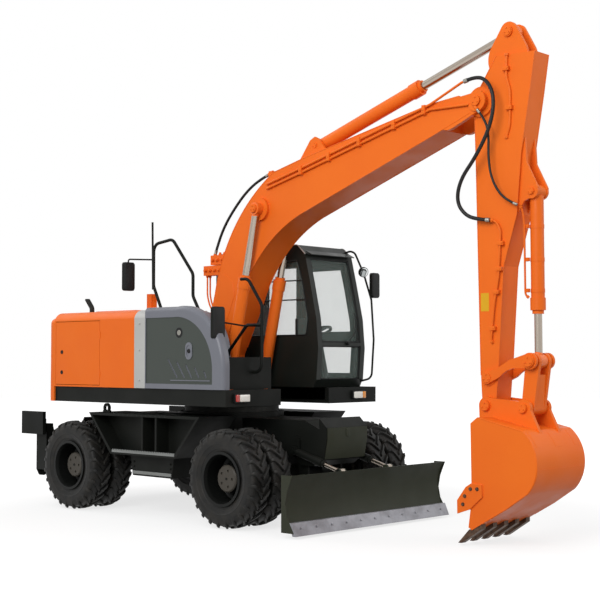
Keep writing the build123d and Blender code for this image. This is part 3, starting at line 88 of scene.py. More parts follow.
def add_node(tree, kind, settings=None, links=None):
    """Adds one node; links maps an input's name or number to an output socket or a plain value."""
    node = tree.nodes.new(kind)
    for name, value in (settings or {}).items():
        setattr(node, name, value)
    for name, value in (links or {}).items():
        if isinstance(value, bpy.types.NodeSocket):
            tree.links.new(value, node.inputs[name])
        else:
            node.inputs[name].default_value = value
    return node


def maths(tree, operation, *values):
    """A sum or a comparison of outputs and plain numbers, as one output."""
    return add_node(tree, "ShaderNodeMath", {"operation": operation}, dict(enumerate(values))).outputs[0]


def vector_maths(tree, operation, *values):
    """The same for vectors; a length comes out as a number."""
    node = add_node(tree, "ShaderNodeVectorMath", {"operation": operation}, dict(enumerate(values)))
    return node.outputs["Value" if operation == "LENGTH" else "Vector"]


def new_finish(name, colour, roughness, metallic=0.0, **sockets):
    """A material with its own shader, whose flat values stand on the shader's sockets."""
    material = bpy.data.materials.new(name)
    material.use_nodes = True
    shader = material.node_tree.nodes["Principled BSDF"]
    shader.inputs["Base Color"].default_value = linear(colour)
    shader.inputs["Roughness"].default_value = roughness
    shader.inputs["Metallic"].default_value = metallic
    for socket, value in sockets.items():
        shader.inputs[socket.replace("_", " ")].default_value = value
    return material, material.node_tree, shader


def grain(tree, size_mm, detail=2.0):
    """Noise on the object's own coordinates; its scale is one over the grain's size in metres."""
    place = add_node(tree, "ShaderNodeTexCoord")
    return add_node(tree, "ShaderNodeTexNoise", links={
        "Vector": place.outputs["Object"], "Scale": 1000.0 / size_mm, "Detail": detail,
    }).outputs["Fac"]


def mottle(tree, shader, light, dark, size_mm, low=0.4, high=0.65):
    """The surface colour drifts between two values over patches of one size."""
    ramp = add_node(tree, "ShaderNodeValToRGB", links={"Fac": grain(tree, size_mm, 4.0)})
    ramp.color_ramp.elements[0].position = low
    ramp.color_ramp.elements[0].color = linear(light)
    ramp.color_ramp.elements[1].position = high
    ramp.color_ramp.elements[1].color = linear(dark)
    tree.links.new(ramp.outputs["Color"], shader.inputs["Base Color"])


def roughen(tree, shader, size_mm, low, high):
    """The roughness drifts between two values, as where hands and dust have dulled it."""
    spread = add_node(tree, "ShaderNodeMapRange", links={
        "Value": grain(tree, size_mm, 3.0), "From Min": 0.35, "From Max": 0.65,
        "To Min": low, "To Max": high})
    tree.links.new(spread.outputs["Result"], shader.inputs["Roughness"])


def dent(tree, shader, size_mm, depth_mm, strength=0.3):
    """A fine relief on the surface, of one grain size and depth."""
    bump = add_node(tree, "ShaderNodeBump", links={
        "Height": grain(tree, size_mm), "Distance": depth_mm * MM, "Strength": strength})
    tree.links.new(bump.outputs["Normal"], shader.inputs["Normal"])


def pin_distance(tree, pins):
    """Distance in metres to the nearest of some pins that run across the machine: the length of the
    offset with its share across struck out, and of those lengths the least."""
    place = add_node(tree, "ShaderNodeTexCoord")
    nearest = 10.0            # farther than any point of the machine
    for along, up in pins:
        offset = vector_maths(tree, "SUBTRACT", place.outputs["Object"], (along * MM + SWING_X, 0.0, up * MM))
        side_on = vector_maths(tree, "MULTIPLY", offset, (1.0, 0.0, 1.0))
        nearest = maths(tree, "MINIMUM", vector_maths(tree, "LENGTH", side_on), nearest)
    return nearest


def two_colours(tree, shader, mask, first, second):
    """The first colour where the mask is nought, the second where it is one."""
    mix = add_node(tree, "ShaderNodeMix", {"data_type": "RGBA"}, {
        "Factor": mask, "A": linear(first), "B": linear(second)})
    tree.links.new(mix.outputs["Result"], shader.inputs["Base Color"])


# %% [markdown]
# The paints. Two-pack enamel sprayed on steel plate dries glossy with a faint orange peel; the
# running gear has the same paint in black, dulled by road dust.

# %% Paints


def enamel(name, colour, shade, roughness, coat, shine=0.2):
    """Sprayed machine enamel: even colour, a slight drift in gloss, orange peel of 6 mm. Road film
    takes most of the shine, so the specular level stands under the 0.5 of clean paint."""
    material, tree, shader = new_finish(name, colour, roughness, Coat_Weight=coat, Coat_Roughness=0.12,
                                        Specular_IOR_Level=shine)
    mottle(tree, shader, colour, shade, 900, 0.35, 0.75)
    roughen(tree, shader, 260, roughness - 0.05, roughness + 0.08)
    dent(tree, shader, 6, 0.12, 0.15)
    return material


MACHINE_ORANGE = "#EA6F20"
orange = enamel("orange_enamel", MACHINE_ORANGE, "#E4671E", 0.4, 0.02, 0.12)
black_gear = enamel("black_chassis_enamel", "#101210", "#191A17", 0.48, 0.0, 0.1)
blade_olive = enamel("blade_enamel", "#2A2D22", "#34362C", 0.5, 0.0, 0.12)
cab_grey = enamel("cab_frame_enamel", "#1D211E", "#181C19", 0.36, 0.04)
silver = enamel("silver_enamel", "#B6B6B3", "#ACACA9", 0.38, 0.08)
step_grey = enamel("step_plate_enamel", "#8A8C8A", "#747674", 0.5, 0.0)
plate_yellow = enamel("yellow_plate_enamel", "#D9A520", "#D09C1C", 0.4, 0.0)
iron, tree, shader = new_finish("cast_iron_bare", "#1D1E1C", 0.6, 0.3, Specular_IOR_Level=0.2)
mottle(tree, shader, "#1D1E1C", "#2A2A27", 60)
dent(tree, shader, 4, 0.3, 0.4)

# %% [markdown]
# The tank's cover is one pressing with a sunk panel. The panel is dark grey-green. The border round
# it is glossy, and that sheen is painted into its colour as a paler grey, a shade more lilac. The panel
# is the flat face that lies 8 mm inside the machine's side, so its place across the machine and its
# upright stand tell the two apart.

# %% Tank cover paint
PANEL_Y = -1.242              # where the sunk panel's face lies, in metres
PANEL_SLACK = 0.001
FACING_OUT = -0.98            # a normal's share across, on faces that look straight out to the right
# Painted sheen: the border's gloss shown as a paler, more lilac grey than the panel.
COVER_BORDER_SHEEN = "#6C6E76"
COVER_PANEL = "#383E39"
grey_cover, tree, shader = new_finish("grey_cover_enamel", COVER_BORDER_SHEEN, 0.4, Coat_Weight=0.1,
                                      Specular_IOR_Level=0.25)
place = add_node(tree, "ShaderNodeTexCoord")
across = add_node(tree, "ShaderNodeSeparateXYZ", links={0: place.outputs["Object"]}).outputs["Y"]
facing = add_node(tree, "ShaderNodeSeparateXYZ", links={0: place.outputs["Normal"]}).outputs["Y"]
on_panel = maths(tree, "MULTIPLY", maths(tree, "COMPARE", across, PANEL_Y, PANEL_SLACK),
                 maths(tree, "LESS_THAN", facing, FACING_OUT))
two_colours(tree, shader, on_panel, COVER_BORDER_SHEEN, COVER_PANEL)
roughen(tree, shader, 260, 0.34, 0.46)
dent(tree, shader, 6, 0.12, 0.15)

# %% [markdown]
# The rims are sprayed black; the hub in the middle of each is left in its dusty primer. The hub is
# told from the rim by its distance from the nearer axle, seen along the axle.

# %% Rim paint
HUB_R = 0.146                 # in metres
RIM_BLACK = "#111211"
rim_black, tree, shader = new_finish("rim_enamel", RIM_BLACK, 0.42, Specular_IOR_Level=0.15)
outside_hub = maths(tree, "GREATER_THAN", pin_distance(tree, [FRONT_AXLE, REAR_AXLE]), HUB_R)
two_colours(tree, shader, outside_hub, "#45413B", RIM_BLACK)
dent(tree, shader, 7, 0.2, 0.25)

# %% [markdown]
# A ram's rod is hard chromed, but the eye at its end is forged and painted with the machine. The
# chrome starts where the rod leaves the eye, told by the distance from the pin in side view.

# %% Rod chrome
EYE_R = 0.088                 # in metres
CHROME = "#A79C90"
CHROME_ROUGH, PAINT_ROUGH = 0.2, 0.42
rod_chrome, tree, shader = new_finish("hard_chromed_rod", CHROME, CHROME_ROUGH, 1.0)
chromed = maths(tree, "GREATER_THAN", pin_distance(tree, [BOOM_RAM_PIN, ARM_RAM_PIN, BUCKET_RAM_PIN]), EYE_R)
two_colours(tree, shader, chromed, MACHINE_ORANGE, CHROME)
tree.links.new(chromed, shader.inputs["Metallic"])
gloss = add_node(tree, "ShaderNodeMapRange", links={
    "Value": chromed, "To Min": PAINT_ROUGH, "To Max": CHROME_ROUGH})
tree.links.new(gloss.outputs["Result"], shader.inputs["Roughness"])

# %% [markdown]
# Rubber is dark and half dull, with a fine moulded grain. Fittings are zinc plated, and steel that
# digs or scrapes has lost its paint.

# %% Rubber and bare steel
tyre_rubber, tree, shader = new_finish("tyre_rubber", "#141414", 0.52, Specular_IOR_Level=0.22)
mottle(tree, shader, "#131312", "#211F1C", 120)
dent(tree, shader, 5, 0.4, 0.35)

hose_rubber, tree, shader = new_finish("hose_cover_rubber", "#101010", 0.42, Specular_IOR_Level=0.25)
dent(tree, shader, 2.5, 0.1, 0.3)

zinc, tree, shader = new_finish("zinc_plated_fitting", "#8D8B84", 0.35, 0.9)
roughen(tree, shader, 12, 0.3, 0.45)

worn_steel, tree, shader = new_finish("worn_cutting_steel", "#4A3626", 0.55, 0.6)
mottle(tree, shader, "#5A4434", "#33241A", 45)
dent(tree, shader, 8, 0.6, 0.5)

blade_edge_steel, tree, shader = new_finish("scuffed_edge_steel", "#8A8A90", 0.42, 0.35)
mottle(tree, shader, "#8E8E94", "#77767B", 160)
dent(tree, shader, 12, 0.3, 0.2)

# %% [markdown]
# Glass, plastics and the seat's cloth. The panes let nearly all the light through and are tinted
# by what little they keep; the lamps' lenses are moulded with a fine relief.

# %% Glass, plastic and cloth
pane, tree, shader = new_finish("tinted_safety_glass", "#93A69F", 0.05, Alpha=0.13)
roughen(tree, shader, 400, 0.02, 0.06)

mirror_silver, tree, shader = new_finish("mirror_silvering", "#C9CCCC", 0.04, 1.0)
roughen(tree, shader, 300, 0.02, 0.05)

plastic, tree, shader = new_finish("moulded_black_plastic", "#121313", 0.5, Specular_IOR_Level=0.2)
dent(tree, shader, 2.5, 0.15, 0.4)

cloth, tree, shader = new_finish("woven_seat_cloth", "#232426", 0.9, Sheen_Weight=0.3)
mottle(tree, shader, "#232426", "#303134", 6, 0.45, 0.55)
dent(tree, shader, 3, 0.5, 0.6)

lens, tree, shader = new_finish("ribbed_lamp_lens", "#E4E2DA", 0.12, Coat_Weight=0.6)
dent(tree, shader, 6, 0.4, 0.4)
red_reflector, tree, shader = new_finish("red_reflector", "#B5291E", 0.2, Coat_Weight=0.5)
dent(tree, shader, 4, 0.3, 0.4)
amber_reflector, tree, shader = new_finish("amber_reflector", "#E08A1E", 0.2, Coat_Weight=0.5)
dent(tree, shader, 4, 0.3, 0.4)
print("finishes:", [material.name for material in bpy.data.materials])

# %% [markdown]
# Each node of the frame takes the finish of the real piece.

# %% Dress the frame
FINISH = [
    (orange, ["arm", "arm_ram_barrel", "boom", "boom_ram_barrels", "bucket", "bucket_link",
              "bucket_ram_barrel", "rocker", "engine_cover", "counterweight", "hood_lid",
              "engine_door_left", "engine_door_right"]),
    (black_gear, ["chassis_frame", "lockers", "front_axle", "rear_axle", "rear_beam", "knuckle_left",
                  "knuckle_right", "stabiliser_left", "stabiliser_right", "leg_ram_barrels",
                  "blade_ram_barrels", "handrails", "platform", "front_step"]),
    (blade_olive, ["blade"]),
    (grey_cover, ["tank_cover"]),
    (cab_grey, ["cab_shell", "cab_door"]),
    (silver, ["silver_band"]),
    (rim_black, ["rims_fl", "rims_fr", "rims_rl", "rims_rr"]),
    (iron, ["driveline", "engine", "slew_ring", "exhaust_stack"]),
    (rod_chrome, ["arm_ram_rod", "boom_ram_rods", "bucket_ram_rod", "blade_ram_rods",
                  "leg_ram_rod_left", "leg_ram_rod_right"]),
    (worn_steel, ["bucket_teeth"]),
    (blade_edge_steel, ["blade_edge"]),
    (pane, ["cab_glass", "cab_door_glass"]),
    (plastic, ["steering_column"]),
]
for material, names in FINISH:
    for name in names:
        nodes[name].data.materials.clear()
        nodes[name].data.materials.append(material)
dressed = sum((names for _, names in FINISH), [])
print("nodes replaced below:", sorted(set(nodes) - set(dressed)))

# %% [markdown]
# New pieces are surfaces worked out with numpy. A surface is a grid of points, each a function of
# two parameters, and neighbouring points are joined by four-sided faces. A piece can be one such
# surface or many, such as all the bolts on one plate, joined into a single mesh. Modelling them by
# hand would look the same, but here every size keeps its name and can be changed.

# %% Surfaces from grids


def at(x, y, z):
    """A place in millimetres from the slewing axis, as metres in the frame."""
    return np.array([x * MM + SWING_X, y * MM, z * MM])


def skin(points):
    """Closed skin over a grid of points (rows, columns, 3) whose columns close on themselves: four-sided
    faces between rows, and a fan to the middle of the first and of the last row."""
    rows, columns = points.shape[:2]
    row, column = np.meshgrid(np.arange(rows - 1), np.arange(columns), indexing="ij")
    beside = (column + 1) % columns
    quads = np.stack([row * columns + column, row * columns + beside,
                      (row + 1) * columns + beside, (row + 1) * columns + column], -1).reshape(-1, 4)
    ring = np.arange(columns)
    ends = [points[0].mean(axis=0), points[-1].mean(axis=0)]
    count = rows * columns
    first = np.stack([np.roll(ring, -1), ring, np.full(columns, count)], -1)
    last = np.stack([ring, np.roll(ring, -1), np.full(columns, count + 1)], -1)
    last[:, :2] += (rows - 1) * columns
    return np.concatenate([points.reshape(-1, 3), ends]), quads.tolist() + first.tolist() + last.tolist()


def ring_skin(points):
    """Skin over a grid that closes on itself both ways, as a torus does."""
    rows, columns = points.shape[:2]
    row, column = np.meshgrid(np.arange(rows), np.arange(columns), indexing="ij")
    beside, next_row = (column + 1) % columns, (row + 1) % rows
    quads = np.stack([row * columns + column, row * columns + beside,
                      next_row * columns + beside, next_row * columns + column], -1).reshape(-1, 4)
    return points.reshape(-1, 3), quads.tolist()


def piece(name, parts, finish, body, sharp=35.0):
    """One mesh of all parts (points, faces), welded, facing outwards, dressed and riding on a body."""
    starts = np.cumsum([0] + [len(points) for points, _ in parts])
    points = np.concatenate([points for points, _ in parts])
    faces = [[corner + start for corner in face] for (_, part), start in zip(parts, starts.tolist())
             for face in part]
    mesh = bpy.data.meshes.new(name)
    mesh.from_pydata(points.tolist(), [], faces)
    work = bmesh.new()
    work.from_mesh(mesh)
    bmesh.ops.remove_doubles(work, verts=work.verts, dist=2e-6)
    bmesh.ops.dissolve_degenerate(work, edges=work.edges, dist=1e-6)
    bmesh.ops.recalc_face_normals(work, faces=work.faces)
    work.to_mesh(mesh)
    work.free()
    mesh.polygons.foreach_set("use_smooth", np.ones(len(mesh.polygons), bool))
    mesh.set_sharp_from_angle(angle=math.radians(sharp))
    mesh.materials.append(finish)
    thing = bpy.data.objects.new(name, mesh)
    bpy.context.scene.collection.objects.link(thing)
    if body:
        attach(thing, body)
    print(name, len(mesh.polygons), "faces")
    return thing


def frame_of(direction):
    """A direction as a unit vector, and two more that are square to it and to each other."""
    direction = np.asarray(direction, float) / np.linalg.norm(direction)
    helper = np.array([0.0, 0.0, 1.0]) if abs(direction[2]) < 0.9 else np.array([1.0, 0.0, 0.0])
    across = np.cross(helper, direction)
    across /= np.linalg.norm(across)
    return direction, across, np.cross(direction, across)


def turned(profile, centre, direction, sides=24):
    """A turned shape: each (along, radius) of the profile, in metres, swept round a line through centre."""
    direction, across, up = frame_of(direction)
    along, radius = np.array(profile, float).T
    angle = np.linspace(0, 2 * np.pi, sides, endpoint=False)
    round_it = np.cos(angle)[:, None] * across + np.sin(angle)[:, None] * up
    return skin(centre + along[:, None, None] * direction + radius[:, None, None] * round_it[None])


def along_path(path, radius, sides=12):
    """A round bar carried along a path: at each point a circle square to the path, and each circle
    turned as little as possible from the one before it."""
    path = np.asarray(path, float)
    heading = np.gradient(path, axis=0)
    heading /= np.linalg.norm(heading, axis=1)[:, None]
    across = [frame_of(heading[0])[1]]
    for step in heading[1:]:
        kept = across[-1] - step * (across[-1] @ step)
        across.append(kept / np.linalg.norm(kept))
    across = np.array(across)
    up = np.cross(heading, across)
    angle = np.linspace(0, 2 * np.pi, sides, endpoint=False)
    radius = np.broadcast_to(radius, len(path))[:, None, None]
    circle = np.cos(angle)[None, :, None] * across[:, None] + np.sin(angle)[None, :, None] * up[:, None]
    return skin(path[:, None] + radius * circle)


def rounded(corners, reach, steps=6):
    """A path through corners, each cut back by reach metres and bridged by a quadratic curve."""
    corners = np.asarray(corners, float)
    share = np.linspace(0, 1, steps)[:, None]
    path = [corners[:1]]
    for before, corner, after in zip(corners, corners[1:], corners[2:]):
        start = corner + (before - corner) * min(0.48, reach / np.linalg.norm(before - corner))
        end = corner + (after - corner) * min(0.48, reach / np.linalg.norm(after - corner))
        path.append((1 - share) ** 2 * start + 2 * share * (1 - share) * corner + share ** 2 * end)
    return np.concatenate(path + [corners[-1:]])


def outline_box(half_wide, half_high, corner, steps=5):
    """A rectangle with round corners about the origin, as points (across, up)."""
    corner = min(corner, half_wide, half_high)
    angle = np.linspace(0, np.pi / 2, steps) + np.arange(4)[:, None] * np.pi / 2
    middle = np.array([[1, 1], [-1, 1], [-1, -1], [1, -1]]) * [half_wide - corner, half_high - corner]
    ring = middle[:, None] + corner * np.stack([np.cos(angle), np.sin(angle)], -1)
    return ring.reshape(-1, 2)


def pad(centre, direction, up, half, corner, edge, dome=0.0):
    """A block with round corners and edges: one outline stacked along a direction, drawn in near each end.
    half is (along, across, up); dome lifts the last cap."""
    direction, up = (np.asarray(v, float) / np.linalg.norm(v) for v in (direction, up))
    across = np.cross(up, direction)
    angle = np.linspace(0, np.pi / 2, 4)
    inset, rise = edge * (1 - np.sin(angle)), edge * (1 - np.cos(angle))
    inset = np.concatenate([inset, inset[::-1]])
    height = np.concatenate([rise - half[0], half[0] - rise[::-1]])
    rings = []
    for h, i in zip(height, inset):
        ring = outline_box(half[1] - i, half[2] - i, max(corner - i, 1e-4))
        rings.append(centre + h * direction + ring[:, :1] * across + ring[:, 1:] * up)
    points, faces = skin(np.array(rings))
    points[-1] += direction * dome
    return points, faces


def bolt_heads(places, direction, size):
    """Hexagon heads on washers: both are turned shapes, with six and with sixteen sides."""
    parts = []
    for place in places:
        parts.append(turned([(-0.001, size), (0.18 * size, size), (0.22 * size, 0.9 * size)], place,
                            direction, 16))
        parts.append(turned([(0.1 * size, 0.8 * size), (0.75 * size, 0.8 * size), (0.9 * size, 0.62 * size)],
                            place, direction, 6))
    return parts

# %% [markdown]
# Twin tyres for mixed ground. Each has a bulging casing with narrow bars that run from the crown
# to the shoulder and over it. The bars of the two halves lean towards each other and stand half a
# pitch apart, so that they nest into chevrons. The casing is turned from one closed section, and
# each bar is one section carried along the casing.

# %% Tyres
TYRE_Y = (807.5, 1127.5)              # middle of the inner and the outer tyre
WHEELS = {"fl": (FRONT_AXLE, 1), "fr": (FRONT_AXLE, -1), "rl": (REAR_AXLE, 1), "rr": (REAR_AXLE, -1)}
CASING = [  # half-section: sideways from the tyre's middle, radius
    (0, 502), (45, 501), (85, 498), (108, 492), (122, 482), (130, 469), (134, 452), (134.5, 449),
    (136, 447), (137, 425), (136.5, 400), (134, 378), (134.5, 375), (132, 372), (128, 350), (121, 325),
    (120, 321), (116, 318), (112, 300), (109, 288), (104, 279), (92, 273.5), (40, 273.5)]
BARS = 24                             # on each half of a tyre
BAR_LINE = np.array([  # along a bar: sideways, radius of its foot, its lean sideways, height
    (2, 497, 0.0, 27), (6, 498, 0.0, 31), (50, 498, 0.02, 30.5), (88, 494, 0.05, 30),
    (107, 488, 0.12, 29), (119, 480, 0.5, 20), (128, 468, 0.85, 10), (133, 452, 0.98, 4.2),
    (135, 436, 1.0, 2.2), (136, 424, 1.0, 0.8)])
BAR_SECTION = np.array([  # across a bar: round the tyre, share of its height
    (-21, -0.2), (-16, 0.9), (-13.5, 1.0), (13.5, 1.0), (16, 0.9), (21, -0.2)])
BAR_SKEW = 0.24                       # how far round a bar has run at the shoulder, in radians
SHOULDER = 107                        # sideways, where a bar stops running round


def round_axle(axle, across, radius, angle):
    """Cylinder coordinates about an axle, in millimetres, as points in the frame:
    x = axle + r cos a, y = across, z = axle height + r sin a."""
    across, radius, angle = np.broadcast_arrays(across, radius, angle)
    return np.stack([(axle[0] + radius * np.cos(angle)) * MM + SWING_X, across * MM,
                     (axle[1] + radius * np.sin(angle)) * MM], -1)


def tyre_parts(axle, middle):
    """The casing and the bars of one tyre."""
    half = np.array(CASING, float)
    section = np.concatenate([half, half[::-1] * [-1, 1]])[:-1]
    angle = np.linspace(0, 2 * np.pi, 96, endpoint=False)[:, None]
    parts = [ring_skin(round_axle(axle, middle + section[:, 0], section[:, 1], angle))]
    across, foot, lean, height = (column[:, None] for column in BAR_LINE.T)
    rise = BAR_SECTION[:, 1] * height
    radius = foot + rise * np.sqrt(1 - lean ** 2)
    sideways = across + rise * lean
    skew = BAR_SKEW * np.minimum(across / SHOULDER, 1) + BAR_SECTION[:, 0] / foot
    for hand in (1, -1):
        for bar in range(BARS):
            start = (bar + 0.25 * hand) * 2 * np.pi / BARS - np.pi / 2
            parts.append(skin(round_axle(axle, middle + hand * sideways, radius, start + skew)))
    return parts


for wheel, (axle, hand) in WHEELS.items():
    tyre = piece(f"tread_tyres_{wheel}", sum((tyre_parts(axle, hand * y) for y in TYRE_Y), []),
                 tyre_rubber, f"wheel_{wheel}", sharp=40.0)
    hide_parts(f"tyres_{wheel}")

# %% [markdown]
# Valve stems stand out of the outer rims, and the hub of each wheel carries a drain plug.

# %% Valve stems
STEM_ANGLE = -0.9                     # where the stem stands on the rim, in radians from forwards
STEM_ACROSS = np.array([1004.0, 1040.0, 1085.0])
STEM_OUT = np.array([222.0, 226.0, 214.0])
DRAIN_PLUG = [(0, 0.014), (0.008, 0.014), (0.01, 0.011)]
for wheel, (axle, hand) in WHEELS.items():
    route = round_axle(axle, hand * STEM_ACROSS, STEM_OUT, np.full(3, STEM_ANGLE))
    stem = along_path(rounded(route, 0.02), 0.0055, 10)
    plug = turned(DRAIN_PLUG, at(axle[0], hand * 1170, axle[1]), (0, hand, 0), 6)
    piece(f"valve_{wheel}", [stem, plug], iron, f"wheel_{wheel}")

# %% [markdown]
# Free hoses: wire-braided rubber. Two leave the boom and end on the arm: their ferrules ride on the
# boom and on the arm, and the rubber between them on neither. One crosses the boom's back. Each is a
# smooth curve through listed points, the same as in the part's source, with swaged steel ferrules at both
# ends.

# %% Hoses
HOSE_LONG = [(3596, -236, 4563), (3759, -245, 4597), (3913, -262, 4506), (3984, -272, 4317),
             (3931, -275, 4059), (3762, -275, 3790), (3560, -265, 3576), (3500, -245, 3363),
             (3597, -220, 3218), (3745, -190, 3174), (3853, -175, 3162)]
HOSE_SHORT = [(3752, -237, 4262), (3838, -234, 4160), (3884, -229, 4010), (3873, -226, 3812),
              (3896, -224, 3595), (3977, -208, 3423), (4075, -180, 3330), (4165, -165, 3290)]
HOSE_BACK = [(-188, -100, 3061), (-127, -100, 3214), (-14, -100, 3405), (150, -100, 3589),
             (337, -100, 3757), (537, -100, 3874), (718, -100, 3932)]


def smooth_line(name, points):
    """A curve with these control points, of the third order, that starts and ends on the outer two."""
    data = bpy.data.curves.new(name, "CURVE")
    data.dimensions = "3D"
    data.resolution_u = 8
    spline = data.splines.new("NURBS")
    spline.points.add(len(points) - 1)
    spline.points.foreach_set("co", np.column_stack([at(*np.array(points, float).T).T,
                                                     np.ones(len(points))]).ravel())
    spline.order_u = 3
    spline.use_endpoint_u = True
    return bpy.data.objects.new(name, data)


def line_points(line):
    """The points that the curve's own line runs through, in metres."""
    bpy.context.scene.collection.objects.link(line)
    bpy.context.view_layer.update()
    drawn = bpy.data.meshes.new_from_object(line)
    points = np.empty(3 * len(drawn.vertices))
    drawn.vertices.foreach_get("co", points)
    bpy.data.objects.remove(line)
    return points.reshape(-1, 3)


def run_length(points):
    """Sum of the straight steps along a line of points."""
    return float(np.linalg.norm(np.diff(points, axis=0), axis=1).sum())


def ferrules(name, line, radius, bodies):
    """A ribbed steel sleeve on the first and on the last stretch of a hose."""
    ribs = [(0, 1.02), (0.002, 1.22), (0.012, 1.22), (0.014, 1.14), (0.017, 1.22), (0.027, 1.22),
            (0.029, 1.14), (0.032, 1.22), (0.044, 1.22), (0.048, 1.02)]
    made = []
    for end, (start, towards), body in zip("ab", ((line[0], line[2]), (line[-1], line[-3])), bodies):
        made.append(piece(f"{name}_ferrule_{end}", [turned([(a, r * radius) for a, r in ribs], start,
                                                           towards - start, 20)], zinc, body))
    return made


for name, route, radius, bodies in (("hose_arm_long", HOSE_LONG, 0.019, ("boom", "arm")),
                                    ("hose_arm_short", HOSE_SHORT, 0.012, ("boom", "arm")),
                                    ("hose_boom_back", HOSE_BACK, 0.016, ("boom", "boom"))):
    line = line_points(smooth_line(name + "_line", route))
    body = None if bodies[0] != bodies[1] else bodies[0]
    hose = piece("rubber_" + name, [along_path(line, radius, 16)], hose_rubber, body)
    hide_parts(name)
    if body is None:
        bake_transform(hose)
    sleeves = ferrules(name, line, radius, bodies)
    print(name, round(run_length(line), 3), "m")

# %% [markdown]
# Plates, straps and beads are the same few forms over and over: a side outline given thickness, a
# round cap held by bolts, and a weld bead that runs along a seam. The bead is a fillet weld with
# fine ripples, left under the paint.

# %% Plates, caps and beads
RIPPLE = 0.012                # metres from one ripple of a weld to the next


def arc(start, middle, end, steps=16):
    """Points on the circle through three points of a plane, from the first to the last."""
    start, middle, end = (np.array(p, float) for p in (start, middle, end))
    chords = np.array([middle - start, end - start])
    centre = start + np.linalg.solve(2 * chords, (chords ** 2).sum(axis=1))
    spokes = [p - centre for p in (start, middle, end)]
    angles = [math.atan2(*spoke[::-1]) for spoke in spokes]
    sweep = (angles[2] - angles[0]) % (2 * math.pi)
    if (angles[1] - angles[0]) % (2 * math.pi) > sweep:
        sweep -= 2 * math.pi
    angle = angles[0] + np.linspace(0, sweep, steps)
    return centre + np.linalg.norm(spokes[0]) * np.stack([np.cos(angle), np.sin(angle)], -1)


def upright(points, y):
    """A side outline in millimetres, as points of the frame at one place across."""
    points = np.array(points, float)
    across = np.broadcast_to(y * MM, len(points))
    return np.stack([points[:, 0] * MM + SWING_X, across, points[:, 1] * MM], -1)


def side_plate(points, y_from, y_to, edge=2.0):
    """A plate with a side outline, its corners softened by drawing both faces in towards the middle."""
    points = np.array(points, float)
    middle = points.mean(axis=0)
    away = points - middle
    drawn = middle + away * (1 - edge / np.linalg.norm(away, axis=1)[:, None])
    step = edge * np.sign(y_to - y_from)
    return skin(np.array([upright(drawn, y_from), upright(points, y_from + step),
                          upright(points, y_to - step), upright(drawn, y_to)]))


def bead(points, radius=4.5):
    """A weld bead: a thin round bar along a seam, whose radius ripples from one ring to the next."""
    points = np.asarray(points, float)
    steps = np.r_[0, np.cumsum(np.linalg.norm(np.diff(points, axis=0), axis=1))]
    count = max(int(steps[-1] / RIPPLE), 4)
    fine = np.stack([np.interp(np.linspace(0, steps[-1], count), steps, points[:, i]) for i in range(3)], -1)
    return along_path(fine, radius * MM * (1 + 0.12 * (np.arange(count) % 2)), 6)


def pin_cap(centre, y, radius, bolts=3):
    """A round keeper plate over a pin's end with its bolts, on the side that y says."""
    hand = math.copysign(1, y)
    profile = [(-0.001, radius * MM), (0.007, radius * MM), (0.009, (radius - 2) * MM)]
    parts = [turned(profile, at(centre[0], y, centre[1]), (0, hand, 0), 32)]
    ring = 0.6 * radius                   # the bolts stand on this circle, on the cap's face
    for a in np.arange(bolts) * 2 * np.pi / bolts + np.pi / 2:
        spot = at(centre[0] + ring * math.cos(a), y + 9 * hand, centre[1] + ring * math.sin(a))
        parts += bolt_heads([spot], (0, hand, 0), 0.2 * radius * MM)
    return parts


# %% [markdown]
# The pins of boom, arm and bucket are kept by such caps on both sides. A cap rides on the piece that
# it is bolted to.

# %% Pin ends
PIN_ENDS = [  # body, middle, place across, radius of the cap
    ("upperstructure", (-130, 1850), 242, 85),
    ("boom", ARM_PIN, 236, 52),
    ("boom", (1450, 4190), 112, 34),
    ("boom_rods", BOOM_RAM_PIN, 345, 46),
    ("arm", ARM_RAM_PIN, 118, 46),
    ("arm", BARREL_PIN, 110, 34),
    ("rocker", (3790, 1617), 165, 50),
    ("rocker", BUCKET_RAM_PIN, 190, 54),
    ("bucket", (3800, 1345), 210, 48),
    ("bucket", (4227, 1330), 207, 44),
]
for body in sorted({row[0] for row in PIN_ENDS}):
    caps = [pin_cap(centre, hand * y, radius) for owner, centre, y, radius in PIN_ENDS
            if owner == body for hand in (1, -1)]
    piece(f"pin_ends_{body}", sum(caps, []), orange, body)

# %% [markdown]
# The boom is a box of four plates, so a weld runs along each corner. Its foot is stiffened by a
# second plate on each side, welded all round, and one more weld rings the boom rams' cross tube.

# %% Boom welds and stiffening plates
BOOM_BACK = np.concatenate([[(-255, 1900)], arc((-98, 2500), (164, 3211), (892, 3930), 40),
                            [(1308, 4030), (3165, 4408)]])
BOOM_BELLY = np.concatenate([[(3640, 4250), (3187, 4081), (1308, 3416)],
                             arc((1308, 3416), (645, 2958), (343, 2486), 30)[1:], [(60, 1940)]])
FOOT_PLATE = [(-235, 2010), (-95, 2540), (-20, 2760), (75, 2800), (215, 2700), (255, 2560), (20, 2030)]
BOOM_SIDE = 200                       # from the middle plane to the boom's side plate
ROUND = np.linspace(0, 2 * np.pi, 49)
RAM_TUBE = np.array(BOOM_RAM_PIN) + 132 * np.stack([np.cos(ROUND), np.sin(ROUND)], -1)
welds = []
for hand in (1, -1):
    welds += [bead(upright(line, hand * BOOM_SIDE), 4) for line in (BOOM_BACK, BOOM_BELLY)]
    welds.append(side_plate(FOOT_PLATE, hand * (BOOM_SIDE - 1), hand * (BOOM_SIDE + 4), 1.5))
    welds.append(bead(upright(FOOT_PLATE + FOOT_PLATE[:1], hand * BOOM_SIDE), 4))
    welds.append(bead(upright(RAM_TUBE, hand * (BOOM_SIDE + 1)), 5))
piece("boom_welds", welds, orange, "boom")

# %% [markdown]
# The arm is a box too, with a weld along both edges of each side plate. A blank yellow plate is
# fixed low on its right side.

